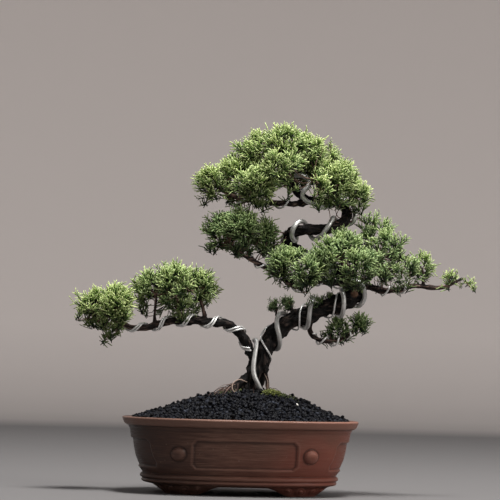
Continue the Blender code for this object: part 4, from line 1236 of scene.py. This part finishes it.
def fan_sprays(name, seed):
    """Copies of sprays that fan out from the root of each tuft."""
    draw = np.random.default_rng(seed)
    copies = []
    for root, way, reach, sky in tufts[name]:
        tuft_tone = draw.random()
        for number in range(SPRAYS_IN_TUFT):
            spread = draw.normal(size=3)
            spread -= way * (spread @ way)
            aim = way + spread * 0.60
            aim /= np.linalg.norm(aim)
            size = draw.uniform(0.66, 1.0) * min(1.0, reach / SPRAY_LENGTH + 0.25)
            tip = root + aim * (reach * draw.uniform(0.70, 1.02) - SIDE_SHOOT_LEAD)
            tip += aim * LONG_SHOOT * (draw.random() < 0.16) + draw.normal(size=3) * 0.0008
            start = tip - aim * SPRAY_LENGTH * size
            turn = turn_towards(aim, draw.uniform(0, math.tau)) * size
            tone = 0.6 * YELLOWNESS.get(name, 0.8) + 0.25 * tuft_tone + 0.2 * draw.random()
            which, own_sky = draw.integers(len(sprays)), np.clip(sky + draw.normal() * 0.06, 0, 1)
            copies.append((which, turn, start, (tone, own_sky)))
    return copies


for seed, name in enumerate(tufts):
    mesh = copies_mesh(name, sprays, fan_sprays(name, 300 + seed), ["tip", "tone", "sky"])
    pads = [name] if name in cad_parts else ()
    make_piece(name.replace("foliage", "sprays"), mesh, green_finish, pads)

# %% [markdown]
# ## The twigs
# Every tuft hangs on a twig. Each could run straight to the nearest limb, but real twigs fork, so
# the tufts are joined up one at a time: each goes to the limb or to a tuft that is already joined,
# whichever makes the shortest way home. Twigs that carry more tufts are thicker.

# %% Join tufts to the limbs
CHAIN_COST = 0.78


def join_tufts(name):
    """Pairs of points to join, with how many tufts each twig carries."""
    roots = np.array([tuft[0] for tuft in tufts[name]])
    feet = np.array([wood_skin.find_nearest(Vector(root))[0][:] for root in roots])
    to_wood = np.linalg.norm(roots - feet, axis=1)
    home = np.full(len(roots), np.inf)
    parent = {}
    for index in np.argsort(to_wood):
        steps = np.linalg.norm(roots - roots[index], axis=1)
        best = int(np.argmin(steps + CHAIN_COST * home))
        if steps[best] + CHAIN_COST * home[best] < to_wood[index]:
            parent[index], home[index] = best, steps[best] + home[best]
        else:
            parent[index], home[index] = -1, to_wood[index]
    carried = {index: 1 for index in parent}
    for index in reversed(list(parent)):
        if parent[index] >= 0:
            carried[parent[index]] += carried[index]
    return [
        (feet[index] if parent[index] < 0 else roots[parent[index]], roots[index], carried[index])
        for index in parent
    ]


joins = [join for name in tufts for join in join_tufts(name)]
print("tufts joined", len(joins))

# %% Draw the twigs
FINEST_TWIG = 0.00030
THICKEST_TWIG = 0.0011
SHORTEST_TWIG = 0.0008


def draw_twigs():
    draw = np.random.default_rng(77)
    bm = bmesh.new()
    shares = np.linspace(0, 1, 5)[:, None]
    for foot, root, carried in joins:
        reach = np.linalg.norm(root - foot)
        if reach < SHORTEST_TWIG:
            continue
        bow = draw.normal(size=3) * reach * 0.12 + np.array([0, 0, -0.06 * reach])
        line = foot + (root - foot) * shares + bow * 4 * shares * (1 - shares)
        thick = min(FINEST_TWIG * carried ** 0.42, THICKEST_TWIG)
        add_tube(bm, line, np.linspace(thick, FINEST_TWIG, 5), 5)
    bmesh.ops.recalc_face_normals(bm, faces=bm.faces)
    return free_mesh("fine_twigs", bm)


def twig_bark():
    bark = Finish("twig_bark", 0.8)
    tone = bark.noise(160, 3, 0.6)
    bark.set(Base_Color=bark.ramp(tone, (0.3, 62, 44, 38), (0.5, 98, 72, 62), (0.72, 130, 102, 86)))
    bark.raise_surface(bark.noise(1600, 3, 0.6), 0.0003, 0.8)
    return bark


make_piece("fine_twigs", draw_twigs(), twig_bark())

# %% [markdown]
# ## Roots at the foot of the trunk
# Fine roots spread from the foot of the trunk over the grit. Modelling them into the trunk would make
# them stiff, so each root is its own bent tube from the bark down to the mound. Two pale ones stand
# up in a loop, as roots do where the soil has washed away from under them.

# %% Surface roots
ROOT_COUNT = 190
FINE_ROOT = 0.00034
LOOP_ROOTS = [
    (0.00042, [
        (-0.024, -0.009, 0.0945), (-0.031, -0.013, 0.0965), (-0.0365, -0.016, 0.0930),
        (-0.0362, -0.018, 0.0870), (-0.030, -0.019, 0.0830), (-0.026, -0.020, 0.0790),
    ]),
    (0.0003, [
        (-0.0100, -0.004, 0.1040), (-0.0070, -0.010, 0.0970), (-0.0062, -0.012, 0.0900),
        (-0.0064, -0.014, 0.0810),
    ]),
]
mound = node_surface("soil")


def mound_under(x, y):
    """The height of the soil at a place."""
    return mound.ray_cast(Vector((x, y, 0.2)), Vector((0, 0, -1)))[0].z


def root_line(start, end, sag, draw):
    """A bent line from the bark to the soil that hugs the mound."""
    shares = np.linspace(0, 1, 9)[:, None]
    line = start + (end - start) * shares
    line += draw.normal(size=3) * (0.0014, 0.0014, 0.0004) * np.sin(math.pi * shares)
    line[:, 2] -= sag * np.sin(math.pi * shares[:, 0])
    return line


def surface_roots():
    draw = np.random.default_rng(21)
    foot = wood_points[wood_points[:, 2] < 0.090].mean(axis=0)
    bm = bmesh.new()
    tones = []  # where on the bark's ramp of colours each vertex lies
    for number in range(ROOT_COUNT):
        around = draw.uniform(0, math.tau) if number % 4 == 0 else math.pi + draw.normal() * 0.6
        out = np.array([math.cos(around), math.sin(around), 0])
        height = draw.uniform(0.084, 0.104 if out[0] < 0 else 0.091)
        beside = Vector(foot * (1, 1, 0) + out * 0.03 + (0, 0, height))
        start = np.array(wood_skin.find_nearest(beside)[0])
        end = start + out * draw.uniform(0.003, 0.021 if out[0] < 0 else 0.010)
        end[2] = mound_under(end[0], end[1]) - 0.0006
        thick = 0.00022 + 0.0008 * draw.random() ** 2.2
        sag = 0.0012 if thick > FINE_ROOT else draw.uniform(-0.0050, 0.0)
        line = root_line(start - out * 0.0006, end, sag, draw)
        add_tube(bm, line, np.linspace(thick, thick * 0.55, len(line)), 6)
        tone = draw.uniform(0.15, 0.55) if thick > FINE_ROOT else draw.uniform(0.35, 0.82)
        tones += [tone] * (len(bm.verts) - len(tones))
    for thick, route in LOOP_ROOTS:
        line = smooth_line(np.array(route), 5)
        add_tube(bm, line, np.linspace(thick, thick * 0.7, len(line)), 7)
        tones += [0.98] * (len(bm.verts) - len(tones))
    bmesh.ops.recalc_face_normals(bm, faces=bm.faces)
    mesh = free_mesh("surface_roots", bm)
    store(mesh, "bark", tones)
    return mesh


make_piece("surface_roots", surface_roots(), bark_finish)

# %% [markdown]
# ## One pale stone
# A single pale grain lies among the black ones. It could be one more copy of a black grain, but it
# is round and worn, so it is a small ball with a lumpy, stretched skin, half sunk in the grit.

# %% Pale stone
PALE_STONE = Vector((0.0165, -0.0330, mound_under(0.0165, -0.0330) + 0.0022))


def pale_stone():
    bm = bmesh.new()
    bmesh.ops.create_icosphere(bm, subdivisions=2, radius=0.0013)
    for vert in bm.verts:
        bump = 0.8 + 0.5 * lumpiness.noise(vert.co * 900)
        vert.co = Vector((vert.co.x * 1.35, vert.co.y, vert.co.z)) * bump + PALE_STONE
    worn = Finish("pale_stone", 0.8)
    tone = worn.noise(900, 3, 0.6)
    worn.set(Base_Color=worn.ramp(tone, (0.35, 176, 172, 164), (0.65, 232, 230, 224)))
    make_piece("pale_stone", free_mesh("pale_stone", bm), worn)


pale_stone()

# %% [markdown]
# ## Moss and weeds
# A cushion of moss sits in front of the trunk. A rough finish on the frame's patch would keep its
# smooth edge, so a crowd of tiny blades stands on it. The small dark weeds on two spots beside the
# trunk are the same blades, longer and duller.

# %% Moss finish
def moss_green():
    moss = Finish("moss_green", 0.75)
    tip = moss.read("tip")
    blade = moss.ramp(tip, (0.0, 38, 44, 22), (0.6, 98, 112, 48), (1.0, 168, 172, 88))
    dull = moss.ramp(tip, (0.0, 24, 28, 20), (1.0, 74, 86, 56))
    fleck = moss.noise(800, 2, 0.6)
    body = moss.blend(moss.read("tone"), dull, blade)
    moss.set(Base_Color=moss.layer(body, fleck, (0.4, 0.5), (0.6, 0.0), (30, 34, 18)))
    moss.raise_surface(fleck, 0.0002, 0.8)
    return moss


moss_finish = moss_green()
refinish("moss_patch", moss_finish)
print("moss finish made")

# %% Moss and weed blades
BLADES_TRIED = 900
WEED_COUNT = 420
WEEDS = np.array([0.0075, -0.0150])
ROOT_SLOPE = np.array([-0.0380, -0.0080])


def blade_stencil():
    bm = bmesh.new()
    add_shoot(bm, (0, 0, 0), (0, 0, 1), 1.0, 0.13, (0.25, 0, 0))
    return Stencil(bm, lambda places: places[:, 2:3])


def blades():
    """Moss blades on the patch, then weed blades scattered round two spots."""
    draw = np.random.default_rng(31)
    places, facing = skin_samples(node_copy("moss_patch"), BLADES_TRIED, draw)
    copies = []
    for place, out in zip(places, facing):
        if out[2] > 0.1:
            way = out + draw.normal(size=3) * 0.5 + (0, 0, 0.6)
            turn = turn_towards(way, draw.uniform(0, math.tau)) * draw.uniform(0.0014, 0.0036)
            copies.append((0, turn, place - out * 0.0003, (draw.uniform(0.45, 1.0),)))
    for number in range(WEED_COUNT):
        spot = (WEEDS if number % 3 == 0 else ROOT_SLOPE) + draw.normal(size=2) * (0.0052, 0.0034)
        way = draw.normal(size=3) * (0.7, 0.7, 0.2) + (0, 0, 1)
        turn = turn_towards(way, draw.uniform(0, math.tau)) * draw.uniform(0.0022, 0.0048)
        place = (*spot, mound_under(*spot))
        copies.append((0, turn, np.array(place), (draw.uniform(0.0, 0.35),)))
    return copies


moss_mesh = copies_mesh("moss_blades", [blade_stencil()], blades(), ["tip", "tone"])
make_piece("moss_blades", moss_mesh, moss_finish)

# %% [markdown]
# ## The hidden pieces: drain nets and their clips
# The nets and clips under the soil are plain woven plastic and bent wire. Their shapes in the frame
# are already true, so they only need their finishes.

# %% Net and clip finishes
def net_plastic():
    net = Finish("net_plastic", 0.5)
    net.set(Base_Color=net.ramp(net.noise(300, 3, 0.5), (0.3, 16, 18, 19), (0.7, 38, 41, 42)))
    net.raise_surface(net.noise(1200, 3, 0.6), 0.0002, 0.6)
    return net


net_finish = net_plastic()
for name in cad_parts:
    if name.startswith("drain_net"):
        refinish(name, thick_finish if "clip" in name else net_finish)
        print(name, "has its finish")
